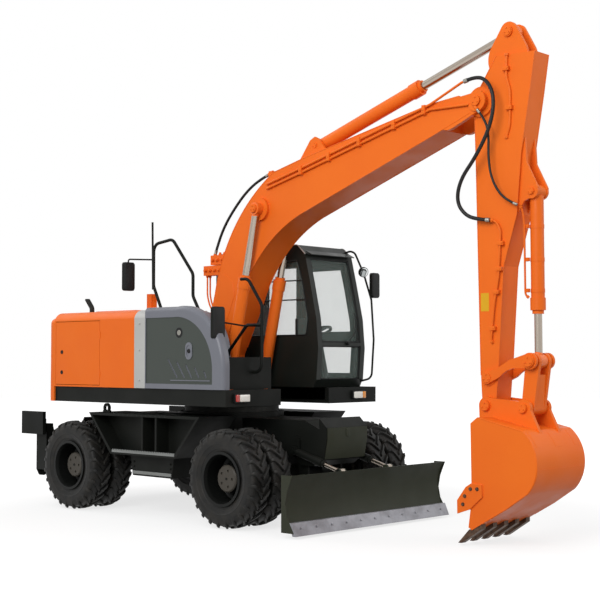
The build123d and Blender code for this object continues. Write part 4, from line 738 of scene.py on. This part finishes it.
# %% Arm welds and plate
ARM_SIDE = 125
ARM_LINES = [[(3905, 4790), (3710, 4500), (3640, 4355), (3655, 3800), (3700, 1640)],
             [(3905, 1700), (3975, 2710), (4130, 3200), (4185, 3800), (4290, 4390), (4350, 4770)]]
BLANK_PLATE = [(3705, 2270), (3800, 2270), (3800, 2450), (3705, 2450)]
welds = [bead(upright(line, hand * ARM_SIDE)) for line in ARM_LINES for hand in (1, -1)]
piece("arm_welds", welds, orange, "arm")
piece("arm_plate", [side_plate(BLANK_PLATE, 1 - ARM_SIDE, -2 - ARM_SIDE, 0.5)], plate_yellow, "arm")

# %% [markdown]
# Steel pipes carry the oil on from the hoses: clamped along the boom, down the arm's right side and
# down behind the boom's foot. They are bent from drawn tube with flared nuts at each end.

# %% Pipes and clamps
PIPES_FROM, PIPES_TO = (1300, 3920), (3157, 4395)     # the boom's own pipes, in side view
PIPE_SLOPE = (PIPES_TO[1] - PIPES_FROM[1]) / (PIPES_TO[0] - PIPES_FROM[0])
CLAMPS_X = (1340, 1760, 2200, 2680, 3080)
CLAMP_DROP = 26                       # from the pipes down to a clamp's middle
ARM_PIPES = [  # corners, radius
    ([(3853, -160, 3162), (3905, -150, 3150), (3960, -150, 3060), (3930, -150, 2600),
      (3875, -150, 2320), (3840, -150, 2000), (3840, -128, 1960)], 0.011),
    ([(4040, -138, 4790), (4030, -138, 4560), (4075, -138, 4420), (4068, -138, 4080),
      (4020, -130, 3960)], 0.013),
]
ARM_CLAMPS = [(3957, 2930), (3937, 2680), (3902, 2455), (3856, 2100), (4070, 4250), (4034, 4640)]


def pipe(points, radius, bend=0.05):
    """A bent pipe through corners in millimetres, with a hexagon nut at each end."""
    corners = np.array([at(*p) for p in points])
    nuts = [turned([(0, 1.75 * radius), (0.022, 1.75 * radius), (0.026, 1.3 * radius)], end, towards - end, 6)
            for end, towards in ((corners[0], corners[1]), (corners[-1], corners[-2]))]
    return [along_path(rounded(corners, bend), radius, 12)] + nuts


bolts = []
for x in CLAMPS_X:
    z = PIPES_FROM[1] + (x - PIPES_FROM[0]) * PIPE_SLOPE - CLAMP_DROP
    bolts += bolt_heads([at(x, -239, z)], RIGHT, 0.011)
    bolts.append(pad(at(x, -240, z), RIGHT, UP, (0.003, 0.02, 0.044), 0.006, 0.002))
piece("boom_clamp_bolts", bolts, orange, "boom")

parts = sum((pipe(points, radius) for points, radius in ARM_PIPES), [])
for x, z in ARM_CLAMPS:
    parts.append(pad(at(x, -146, z), RIGHT, UP, (0.021, 0.036, 0.02), 0.004, 0.002))
    parts += bolt_heads([at(x + 22, -167, z)], RIGHT, 0.008)
piece("arm_pipes", parts, orange, "arm")

# %% [markdown]
# The manifolds at the boom's foot are blocks of the frame. Each port is closed by a hexagon with a
# round plug in it, and two pipes run down from the lower block.

# %% Manifold plugs and foot pipes
FOOT_PIPES = [[(-285, y, 2803), (-285, y, 2560), (-240, y, 2430), (-155, y, 2345)] for y in (-95, -140)]
PLUGS = [((x, -155, 2982), RIGHT) for x in (-165, -85, 0, 65)]     # place, way they point
PLUGS += [((x, -180, 2858), RIGHT) for x in (-265, -185, -105, -25)]
PLUGS += [((x, -100, 3040), UP) for x in (-105, -30, 45)]
PLUGS += [((90, -105, 2982), FORWARD), ((-310, -120, 2858), BACK)]
parts = sum((pipe(points, 0.010) for points in FOOT_PIPES), [])
for spot, out in PLUGS:
    parts.append(turned([(-0.001, 0.021), (0.018, 0.021), (0.021, 0.018)], at(*spot), out, 6))
    parts.append(turned([(0.018, 0.015), (0.034, 0.015), (0.036, 0.012)], at(*spot), out, 20))
piece("boom_foot_pipes_and_plugs", parts, orange, "boom")

# %% [markdown]
# The bucket ram has one pipe down its barrel, held by three bands that are bent round the barrel.

# %% Bucket ram pipe
BARREL_LEAN = 0.0043                  # the barrel's run forwards for each millimetre down
BARREL_PIPE = [(4183, -146, 3280), (4197, -122, 3236), (4196, -92, 3120), (4196, -84, 2420),
               (4225, -66, 2390)]
BAND = [(-0.02, 0.0672), (-0.019, 0.0692), (0.019, 0.0692), (0.02, 0.0672)]
parts = pipe(BARREL_PIPE, 0.010, 0.04)
for z in (3080, 2760, 2460):
    middle = at(BARREL_PIN[0] + (BARREL_PIN[1] - z) * BARREL_LEAN, 0, z)
    parts.append(turned(BAND, middle, (-BARREL_LEAN, 0, 1), 40))
    parts.append(pad(at(4215, -74, z), (-0.5, -1, 0), UP, (0.016, 0.026, 0.018), 0.004, 0.002))
piece("bucket_ram_pipe", parts, orange, "bucket_barrel")

# %% [markdown]
# The bucket is rolled from wear plate. Its seams are welded, just inside the shell's outer line, and
# the side cutters are bolted on. What digs is bare metal.

# %% Bucket welds and bolts
HEEL_ARC = arc((4370, 1130), (4530, 850), (4420, 540), 24)
SHELL_BACK = np.concatenate([[(3900, 1233)], HEEL_ARC, [(4180, 380), (3800, 165)]])
INWARD = np.array([4150, 780]) - SHELL_BACK
SHELL_SEAM = SHELL_BACK + 6 * INWARD / np.linalg.norm(INWARD, axis=1)[:, None]
CUTTER_SEAM = [(3790, 604), (3918, 598), (3923, 485), (3776, 355)]
CUTTER_BOLTS = [(3700, 400), (3722, 480), (3790, 553), (3868, 556)]
EAR_LINE = [(3730, 1217), (3860, 1241), (4372, 1131)]
EAR_FACES = (143, 187)                # across, both faces of an ear
SHELL_SIDE = 419
CUTTER_FACE = 438
parts = []
for hand in (1, -1):
    parts.append(bead(upright(SHELL_SEAM, hand * SHELL_SIDE), 5))
    parts += [bead(upright(EAR_LINE, hand * y), 5) for y in EAR_FACES]
    parts.append(bead(upright(CUTTER_SEAM, hand * (SHELL_SIDE + 2)), 5))
piece("bucket_welds", parts, orange, "bucket")
parts = []
for hand in (1, -1):
    parts += bolt_heads([at(x, hand * CUTTER_FACE, z) for x, z in CUTTER_BOLTS], (0, hand, 0), 0.019)
piece("bucket_bolts", parts, worn_steel, "bucket")

# %% [markdown]
# The wear plates are bent over the shell: one across the whole heel, and three narrow straps above
# it. A bent plate is the side line, moved out by the plate's thickness and spread across the bucket.

# %% Bucket wear plates
HEEL = np.concatenate([HEEL_ARC[14:], [(4180, 380), (3960, 254)]])     # the arc's lower part, and on
STRAP = HEEL_ARC[1:8]                 # its upper part
STRAP_HALF = 45
SUNK = 2                              # how far a plate reaches into the shell
SOFT = 1.5                            # how far its outer edges are drawn in


def wrap(line, y_from, y_to, proud):
    """A plate bent over a side line: the line moved out, square to itself, by what stands proud of it."""
    line = np.array(line, float)
    heading = np.gradient(line, axis=0)
    outward = np.stack([-heading[:, 1], heading[:, 0]], -1) / np.linalg.norm(heading, axis=1)[:, None]
    outline = np.stack([line - SUNK * outward, line + (proud - SOFT) * outward, line + proud * outward], 1)
    rows = []
    for inner, soft, outer in outline:
        rows.append(np.concatenate([upright([inner, soft], y_from), upright([outer], y_from + SOFT),
                                    upright([outer], y_to - SOFT), upright([soft, inner], y_to)]))
    return skin(np.array(rows))


parts = [wrap(HEEL[::-1], -416, 416, 9)]
parts += [wrap(STRAP[::-1], y - STRAP_HALF, y + STRAP_HALF, 5) for y in (-330, 0, 330)]
piece("bucket_wear_plates", parts, orange, "bucket")

# %% [markdown]
# The driver's seat: a cushion and a back with sewn channels, a headrest and two armrests. Each pad is
# a closed crowned form, rounder than a box and flatter than an ellipsoid, with its channels pressed
# in and a corded seam round its edge.

# %% Seat
SEAT_Y = 805.0                # the seat stands on the cab's middle line
PADS = [  # name, middle, half (along, across, up), lean back in degrees, channels across it
    ("cushion", (-95, SEAT_Y, 1865), (235, 235, 62), 4, (-0.45, 0.0, 0.45)),
    ("back", (-345, SEAT_Y, 2215), (52, 225, 270), 13, (-0.5, -0.17, 0.17, 0.5)),
    ("headrest", (-432, SEAT_Y, 2575), (42, 130, 80), 13, ()),
    ("arm_left", (-120, 1080, 2070), (160, 34, 24), 0, ()),
    ("arm_right", (-120, 530, 2070), (160, 34, 24), 0, ()),
]
SIDE_POWER, CORNER_POWER, CROWN_POWER = 0.3, 0.32, 0.75       # p, q and r in the formula below
CHANNEL_WIDTH = 9.0
CHANNEL_DEPTH = 0.16                  # as a share of the pad's thickness
CORD_R = 0.0035                       # of the seam's cord, in metres
PAD_ROWS, PAD_COLUMNS = 40, 72


def power(value, exponent):
    """A sine or cosine raised to a power, with its sign kept."""
    return np.sign(value) * np.abs(value) ** exponent


def crowned(half, channels):
    """A cushion about the origin: x = a cos^p u cos^q v, y = b cos^p u sin^q v, z = c sin^r u, with z the
    thin way, and with channels pressed in as bells across the widest face. Also its rim, as a line."""
    u = np.linspace(-np.pi / 2, np.pi / 2, PAD_ROWS + 2)[1:-1, None]
    v = np.linspace(0, 2 * np.pi, PAD_COLUMNS, endpoint=False)[None]
    thin = int(np.argmin(half))
    wide = [axis for axis in range(3) if axis != thin]
    shape = np.empty((PAD_ROWS, PAD_COLUMNS, 3))
    shape[..., wide[0]] = half[wide[0]] * power(np.cos(u), SIDE_POWER) * power(np.cos(v), CORNER_POWER)
    shape[..., wide[1]] = half[wide[1]] * power(np.cos(u), SIDE_POWER) * power(np.sin(v), CORNER_POWER)
    shape[..., thin] = half[thin] * power(np.sin(u), CROWN_POWER) * (1 + 0 * v)
    axis = wide[0] if thin == 2 else wide[1]
    run = shape[..., axis]
    for channel in channels:
        bell = np.exp(-((run - channel * half[axis]) / CHANNEL_WIDTH) ** 2)
        shape[..., thin] *= 1 - CHANNEL_DEPTH * bell
    rim = shape[PAD_ROWS // 2].copy()
    rim[:, thin] = 0
    return shape, rim


for name, middle, half, lean, channels in PADS:
    shape, rim = crowned(half, channels)
    tilt = math.radians(-lean)
    turn = np.array([[math.cos(tilt), 0, math.sin(tilt)], [0, 1, 0], [-math.sin(tilt), 0, math.cos(tilt)]])
    shape = at(*middle) + shape @ turn.T * MM
    rim = at(*middle) + rim @ turn.T * 1.004 * MM
    corded = along_path(np.concatenate([rim, rim[:1]]), CORD_R, 8)
    pad_piece = piece("seat_" + name, [skin(shape), corded], cloth, "upperstructure", sharp=60.0)
    if name == "cushion":
        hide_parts("seat")

# %% [markdown]
# Under the seat stand a base plate, a bellows of six folds and the seat's pan, and behind the back is
# its shell. Beside it are two consoles with levers, in front two pedals and a small monitor.

# %% Pedestal and consoles
BELLOWS_Z = range(1590, 1790, 34)     # the folds, every second one drawn in
CONSOLE_Y = (495, 1105)
PEDAL_Y = (730, 880)
LEVER = [(210, 1995), (225, 2060), (222, 2120)]       # along and up
GRIP = [(-0.045, 0.016), (-0.03, 0.022), (0.02, 0.026), (0.04, 0.02), (0.048, 0.008)]
base = [pad(at(-90, SEAT_Y, 1545), UP, LEFT, (0.022, 0.23, 0.2), 0.03, 0.004)]
for fold, z in enumerate(BELLOWS_Z):
    drawn = 0.012 * (fold % 2)
    base.append(pad(at(-90, SEAT_Y, z), UP, LEFT, (0.019, 0.19 - drawn, 0.17 - drawn), 0.05, 0.012))
base.append(pad(at(-95, SEAT_Y, 1795), UP, LEFT, (0.018, 0.235, 0.225), 0.04, 0.006))
base.append(pad(at(-372, SEAT_Y, 2215), (-1, 0, -0.23), LEFT, (0.02, 0.26, 0.2), 0.05, 0.012))
for y in CONSOLE_Y:
    base.append(pad(at(20, y, 1760), FORWARD, UP, (0.24, 0.042, 0.25), 0.03, 0.015))
    base.append(along_path(rounded(upright(LEVER, y), 0.02), 0.011, 12))
    base.append(turned(GRIP, at(222, y, 2160), (-0.1, 0, 1), 20))
for y in PEDAL_Y:
    base.append(pad(at(640, y, 1575), (-0.5, 0, 1), (1, 0, 0.5), (0.008, 0.045, 0.11), 0.012, 0.003))
base.append(pad(at(690, 470, 2180), (-1, 0.35, 0.1), UP, (0.02, 0.07, 0.1), 0.015, 0.006))
piece("seat_pedestal_and_consoles", base, plastic, "upperstructure")

# %% [markdown]
# Rubber seals hold the panes, and a wiper is parked upright on the windscreen's left.

# %% Seals and wiper
CAB_FRONT = ([1470, 1560, 1930, 2270, 2710, 3030], [960, 1010, 1040, 1010, 910, 830])  # up, along
GLASS_BACK = 14                       # from the cab's front outline back to the glass's face
RIGHT_PANE = [(-600, 2080), (500, 2080), (850, 2080), (880, 2270), (790, 2700), (710, 2960), (-590, 2960)]
REAR_PANE = [(-600, 2080), (-60, 2080), (-60, 2960), (-590, 2960)]
SCREEN_Y = (470, 1140)
UPPER_SCREEN_Z = np.linspace(2002, 2984, 12)
LOWER_SCREEN_Z = (1566, 1948)
WIPER_Y = 1080.0
WIPER_ARM = ([900, 1060, WIPER_Y], [1985, 2140, 2180])        # across, up
WIPER_PIVOT = [(-0.02, 0.02), (0.02, 0.02), (0.026, 0.014)]


def windscreen(y, z):
    """Places on the glass's outer face: the cab's front outline read off at each height."""
    y, z = np.broadcast_arrays(np.array(y, float), np.array(z, float))
    return at(np.interp(z, *CAB_FRONT) - GLASS_BACK, y, z).T


def screen_line(heights):
    """Up the windscreen's right edge through these heights and down its left edge."""
    return np.concatenate([windscreen(SCREEN_Y[0], heights), windscreen(SCREEN_Y[1], heights[::-1])])


def closed_seal(points, radius):
    """A round rubber seal along a closed line with soft corners."""
    points = np.array(points)
    start = (points[0] + points[1]) / 2
    return along_path(rounded(np.concatenate([[start], points[1:], points[:1], [start]]), 0.03, 4), radius, 8)


seals = [closed_seal(upright(RIGHT_PANE, 391), 0.009), closed_seal(upright(REAR_PANE, 1219), 0.009),
         closed_seal(screen_line(UPPER_SCREEN_Z), 0.011), closed_seal(screen_line(LOWER_SCREEN_Z), 0.009)]
arm_line = windscreen(*WIPER_ARM)
arm_line[:, 0] += 0.028
blade_line = windscreen(WIPER_Y, np.linspace(2010, 2350, 8))
blade_line[:, 0] += 0.016
seals += [along_path(arm_line, 0.006, 8), along_path(blade_line, 0.007, 8),
          turned(WIPER_PIVOT, arm_line[0], (1, 0, 0.1), 16)]
piece("cab_seals_and_wiper", seals, plastic, "upperstructure")

# %% [markdown]
# The door has a seal of its own, an outer grip, a plate round its lock, and a rail inside below the
# glass. A visor shades the windscreen's top, and silver gutters run along the roof's sides.

# %% Door trim, visor and gutters
DOORWAY = [(30, 1560), (900, 1560), (930, 1930), (905, 2270), (810, 2700), (740, 2960), (30, 2960)]
GRIP_LINE = [(780, 1222, 1985), (780, 1250, 1985), (640, 1250, 1985), (640, 1222, 1985)]
VISOR = [(812, 3078), (905, 3032), (902, 3024), (806, 3066)]
ROOF_EDGE = [(-690, 3028), (-602, 3112), (700, 3152), (828, 3036)]
ROOF_SIDES = (394, 1216)
door_trim = [closed_seal(upright(DOORWAY, 1221), 0.008),
             along_path(rounded([at(*p) for p in GRIP_LINE], 0.02), 0.009, 10),
             pad(at(860, 1224, 1985), LEFT, UP, (0.006, 0.03, 0.045), 0.01, 0.003),
             pad(at(475, 1192, 2050), LEFT, UP, (0.008, 0.39, 0.085), 0.03, 0.004)]
piece("cab_door_trim", door_trim, plastic, "cab_door")
piece("cab_visor", [side_plate(VISOR, 420, 1190, 3)], cab_grey, "upperstructure")
gutters = [along_path(rounded(upright(ROOF_EDGE, y), 0.03), 0.007, 8) for y in ROOF_SIDES]
piece("roof_gutters", gutters, silver, "upperstructure")

# %% [markdown]
# Mirrors: moulded shells with silvered glass let into their backs, and one small round dish. The
# bent tubes that carry them are in the frame.

# %% Mirrors
MIRRORS = [((-470, -1205, 2750), 78, 165), ((1030, -1190, 2190), 85, 172), ((1215, 1195, 2680), 68, 150)]
DISH_AT = at(1045, 1185, 2850)        # the small round mirror above the front left one
DISH_FACING = np.array([1, -0.3, -0.3])
DISH = [(0.0, 0.061), (0.012, 0.06), (0.024, 0.05), (0.03, 0.03)]
DISH_GLASS = [(0.02, 0.055), (0.023, 0.055), (0.0235, 0.05)]
shells, glasses = [], []
for (x, y, z), wide, high in MIRRORS:
    half = np.array([wide, high]) * MM
    shells.append(pad(at(x + 20, y, z), FORWARD, UP, (0.013, *(half - 0.002)), 0.032, 0.012, 0.004))
    glasses.append(pad(at(x - 20, y, z), BACK, UP, (0.003, *(half - 0.011)), 0.024, 0.001))
shells.append(turned(DISH, DISH_AT, -DISH_FACING, 32))
glasses.append(turned(DISH_GLASS, DISH_AT, DISH_FACING, 32))
piece("mirror_shells", shells, plastic, "upperstructure")
piece("mirror_glass", glasses, mirror_silver, "upperstructure")

# %% [markdown]
# Head lamps: a broad clear lens in a black housing, with a narrow coloured one at its outer edge: red
# on the right and amber on the left. The lenses are moulded blocks with soft edges.

# %% Head lamps
LAMP_Y = ((-1010, -1), (900, 1))      # middle of each lamp, and which way its outer edge lies
LAMP_Z = 1380
LENS_X = 1237
housings, lenses, reflectors = [], [], []
for y, outer in LAMP_Y:
    housings.append(pad(at(LENS_X - 20, y, LAMP_Z), FORWARD, UP, (0.018, 0.11, 0.05), 0.012, 0.004))
    lenses.append(pad(at(LENS_X, y - 27 * outer, LAMP_Z), FORWARD, UP, (0.008, 0.074, 0.038),
                      0.01, 0.005, 0.004))
    reflectors.append(pad(at(LENS_X, y + 77 * outer, LAMP_Z), FORWARD, UP, (0.008, 0.026, 0.038),
                          0.01, 0.005))
lamp_housings = piece("lamp_housings", housings, plastic, "upperstructure")
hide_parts("head_lamps")
piece("lamp_lenses", lenses, lens, "upperstructure")
piece("lamp_reflector_right", reflectors[:1], red_reflector, "upperstructure")
piece("lamp_reflector_left", reflectors[1:], amber_reflector, "upperstructure")

# %% [markdown]
# The step boxes are pressed sheet: their upper edge is punched with a row of holes, their foot has
# a saw-toothed tread that grips a boot, and hexagon bolts hold them to brackets on the beam. Each
# hole is a thin dark disc on the sheet: painted shade for the dark inside of the box seen through it.

# %% Step boxes
HOLE_X = np.linspace(-640, 180, 11)
GRIP_HOLE_X = np.arange(-740, 330, 60)
GRIP_HOLE_Y = (1045, 1095, 1150)
TOOTH_X = np.arange(-760, 330, 30.0)
TOOTH_SHARES = (0.0, 9.0, 21.0)       # a tooth's foot, and both ends of its crest, from its start
TOOTH_Z = (738.0, 758.0, 758.0)
TREAD_FOOT_Z = 722.0
TREAD_Y = (1201, 1195)                # both faces of the toothed sheet
BRACKET_BOLTS = [(x, z) for x in (-500, 140) for z in (618, 565)]
WIDE_HOLE = [(-0.001, 0.011), (0.0008, 0.011), (0.001, 0.009)]
FINE_HOLE = [(-0.001, 0.012), (0.0008, 0.012)]

teeth = (TOOTH_X[:, None] + TOOTH_SHARES).ravel()
crest = np.stack([teeth, np.tile(TOOTH_Z, len(TOOTH_X))], -1)
foot = np.stack([teeth, np.full(len(teeth), TREAD_FOOT_Z)], -1)
hole_shade_discs, treads, bolts = [], [], []
for hand in (1, -1):
    out = (0, hand, 0)
    # Dark discs in place of holes: painted shade of the box's inside.
    hole_shade_discs += [turned(WIDE_HOLE, at(x, hand * 1200, 1155), out, 16) for x in HOLE_X]
    hole_shade_discs += [turned(FINE_HOLE, at(x, hand * y, 700), UP, 12) for y in GRIP_HOLE_Y for x in GRIP_HOLE_X]
    outer, inner = (hand * y for y in TREAD_Y)
    treads.append(skin(np.stack([upright(foot, outer), upright(crest, outer), upright(crest, inner),
                                 upright(foot, inner)], 1)))
    treads.append(pad(at(-180, hand * 1083, 497), out, UP, (0.006, 0.34, 0.018), 0.004, 0.002))
    bolts += bolt_heads([at(x, hand * 1080, z) for x, z in BRACKET_BOLTS], out, 0.014)
piece("step_hole_shade_discs", hole_shade_discs, plastic, "undercarriage")
piece("step_treads", treads, step_grey, "undercarriage")
piece("step_bolts", bolts, black_gear, "undercarriage")

# %% [markdown]
# The toolbox between the blade's arms has a bent lid with a hasp; the blade's ram eyes have round
# keeper plates, and the low round heads of plough bolts hold the cutting edge to the mouldboard.

# %% Blade and toolbox
LID_SECTION = [(1792, 722), (1832, 930), (1832, 1058), (1838, 1058), (1838, 928), (1798, 720)]
EDGE_NORMAL = (0.9, 0, 0.43)
PLOUGH_HEAD = [(-0.001, 0.011), (0.0035, 0.011), (0.004, 0.0095)]
PLOUGH_BOLTS_Y = np.arange(-1150, 1151, 230)
lid = [side_plate(LID_SECTION, -325, 325, 1.5),
       pad(at(1836, 0, 1000), FORWARD, UP, (0.01, 0.03, 0.045), 0.008, 0.003)]
piece("toolbox_lid", lid, blade_olive, "undercarriage")
caps = []
for hand in (1, -1):
    caps += pin_cap((2085, 610), hand * 438, 34) + pin_cap((1450, 480), hand * 375, 44)
piece("blade_pin_ends", caps, black_gear, "blade")
heads = [turned(PLOUGH_HEAD, at(2233, y, 105), EDGE_NORMAL, 20) for y in PLOUGH_BOLTS_Y]
piece("blade_edge_bolts", heads, blade_edge_steel, "blade")

# %% [markdown]
# Bodywork: round locks in the doors, the tank's cover and the lid, a filler cap in a dark ring, and
# bolts on the silver band and across the counterweight's back. The dark ring is painted shade: a flat
# annulus on the panel in place of the shaded dish round the cap.

# %% Body trim
LOCKS = [  # place, way it faces
    ((-1677, -1250, 1884), RIGHT),
    ((-1677, -1250, 1640), RIGHT),
    ((-1060, 1250, 1884), LEFT),
    ((629, -1246, 1887), RIGHT),
    ((-1000, 0, 2400), UP),
]
LOCK = [(0, 0.024), (0.004, 0.024), (0.006, 0.021), (0.002, 0.018), (0.003, 0.004)]
FILLER_AT = at(463, -1210, 2089)
# Painted shade: a dark flat annulus standing for the shaded dish round the filler cap.
FILLER_DISH_SHADE = [(0.0, 0.0375), (0.0325, 0.0375), (0.0335, 0.056), (0.0345, 0.056), (0.0345, 0.0375)]
FILLER_CAP = [(0.0, 0.034), (0.03, 0.034), (0.036, 0.028), (0.037, 0.01)]
locks = [turned(LOCK, at(*spot), out, 28) for spot, out in LOCKS]
locks.append(turned(FILLER_DISH_SHADE, FILLER_AT, RIGHT, 36))
piece("door_locks_and_filler_shade", locks, plastic, "upperstructure")
piece("filler_cap", [turned(FILLER_CAP, FILLER_AT, RIGHT, 28)], zinc, "upperstructure")
bolts = bolt_heads([at(-205, -1251, z) for z in (1560, 1900, 2200)], RIGHT, 0.012)
bolts += bolt_heads([at(-2009, y, 1480) for y in (-700, 0, 700)], BACK, 0.02)
piece("body_bolts", bolts, silver, "upperstructure")

# %% [markdown]
# The camera stands where the photograph was taken: off the right-hand front corner, at eye height,
# looking slightly up.

# %% Camera
EYE = Vector((11.084 + SWING_X, -10.513, 1.800))
YAW = math.radians(133.469)
PITCH = math.radians(2.646)
LENS_MM = 76.58               # on a 36 mm sensor

camera_data = bpy.data.cameras.new("camera")
camera_data.lens = LENS_MM
camera_data.sensor_width = 36.0
camera = bpy.data.objects.new("camera", camera_data)
camera.location = EYE
aim = Vector((math.cos(PITCH) * math.cos(YAW), math.cos(PITCH) * math.sin(YAW), math.sin(PITCH)))
camera.rotation_euler = aim.to_track_quat("-Z", "Y").to_euler()
bpy.context.scene.collection.objects.link(camera)
bpy.context.scene.camera = camera

# %% [markdown]
# The floor runs into a white backdrop without a horizon: what the camera sees of it glows white away
# from the machine, and near it a grey share takes the machine's shadow.

# %% Floor
FLOOR_HALF = 40.0
SHADOW_REACH = (3.0, 7.0)     # metres from the machine's middle over which the glow rises to white
GLOW = (0.74, 1.0)


def seen_directly(tree):
    """One where the camera looks at a surface, straight, in a mirror or through glass; else nought."""
    path = add_node(tree, "ShaderNodeLightPath")
    either = maths(tree, "MAXIMUM", path.outputs["Is Camera Ray"], path.outputs["Is Glossy Ray"])
    return maths(tree, "MAXIMUM", either, path.outputs["Is Transmission Ray"])


floor_mesh = bpy.data.meshes.new("floor")
CORNERS = [(x * FLOOR_HALF, y * FLOOR_HALF, 0) for x, y in ((-1, -1), (1, -1), (1, 1), (-1, 1))]
floor_mesh.from_pydata(CORNERS, [], [(0, 1, 2, 3)])
floor = bpy.data.objects.new("floor", floor_mesh)
bpy.context.scene.collection.objects.link(floor)
floor_finish, tree, shader = new_finish("floor_white", "#8C8C8A", 0.9)
grey_share = add_node(tree, "ShaderNodeBsdfDiffuse", links={"Color": linear("#8E8E8E")})
place = add_node(tree, "ShaderNodeTexCoord")
away = vector_maths(tree, "LENGTH", place.outputs["Object"])
glow = add_node(tree, "ShaderNodeMapRange", {"interpolation_type": "SMOOTHSTEP"}, {
    "Value": away, "From Min": SHADOW_REACH[0], "From Max": SHADOW_REACH[1],
    "To Min": GLOW[0], "To Max": GLOW[1]})
lit = add_node(tree, "ShaderNodeEmission", links={"Strength": glow.outputs["Result"]})
seen_floor = add_node(tree, "ShaderNodeAddShader", links={0: grey_share.outputs[0], 1: lit.outputs[0]})
choice = add_node(tree, "ShaderNodeMixShader", links={
    0: seen_directly(tree), 1: shader.outputs[0], 2: seen_floor.outputs[0]})
tree.links.new(choice.outputs[0], tree.nodes["Material Output"].inputs["Surface"])
floor_mesh.materials.append(floor_finish)

# %% [markdown]
# An overcast sky: most of the light comes from all round, a little more from the camera's side. What
# the camera sees of the sky is pure white, and the light it gives is set apart from that.

# %% Light
LAMPS = [  # name, place, size, watts
    ("key", (5.0, -14.0, 9.0), 9.0, 1750.0),
    ("fill", (13.0, 7.0, 8.0), 9.0, 650.0),
    ("back", (-12.0, -4.0, 10.0), 8.0, 350.0),
]
LAMPS_AIM = Vector((0, 0, 1.8))
for name, spot, size, watts in LAMPS:
    lamp = bpy.data.lights.new(name, "AREA")
    lamp.size = size
    lamp.energy = watts
    holder = bpy.data.objects.new(name, lamp)
    holder.location = spot
    holder.rotation_euler = (LAMPS_AIM - Vector(spot)).to_track_quat("-Z", "Y").to_euler()
    bpy.context.scene.collection.objects.link(holder)

SKY_LEVEL = 0.52
world = bpy.data.worlds.new("world")
bpy.context.scene.world = world
world.use_nodes = True
sky_tree = world.node_tree
level = add_node(sky_tree, "ShaderNodeMapRange", links={
    "Value": seen_directly(sky_tree), "To Min": SKY_LEVEL, "To Max": 1.0})
sky = sky_tree.nodes["Background"]
sky.inputs["Color"].default_value = linear("#FFFFFF")
sky_tree.links.new(level.outputs["Result"], sky.inputs["Strength"])
bpy.context.scene.view_settings.view_transform = "Standard"
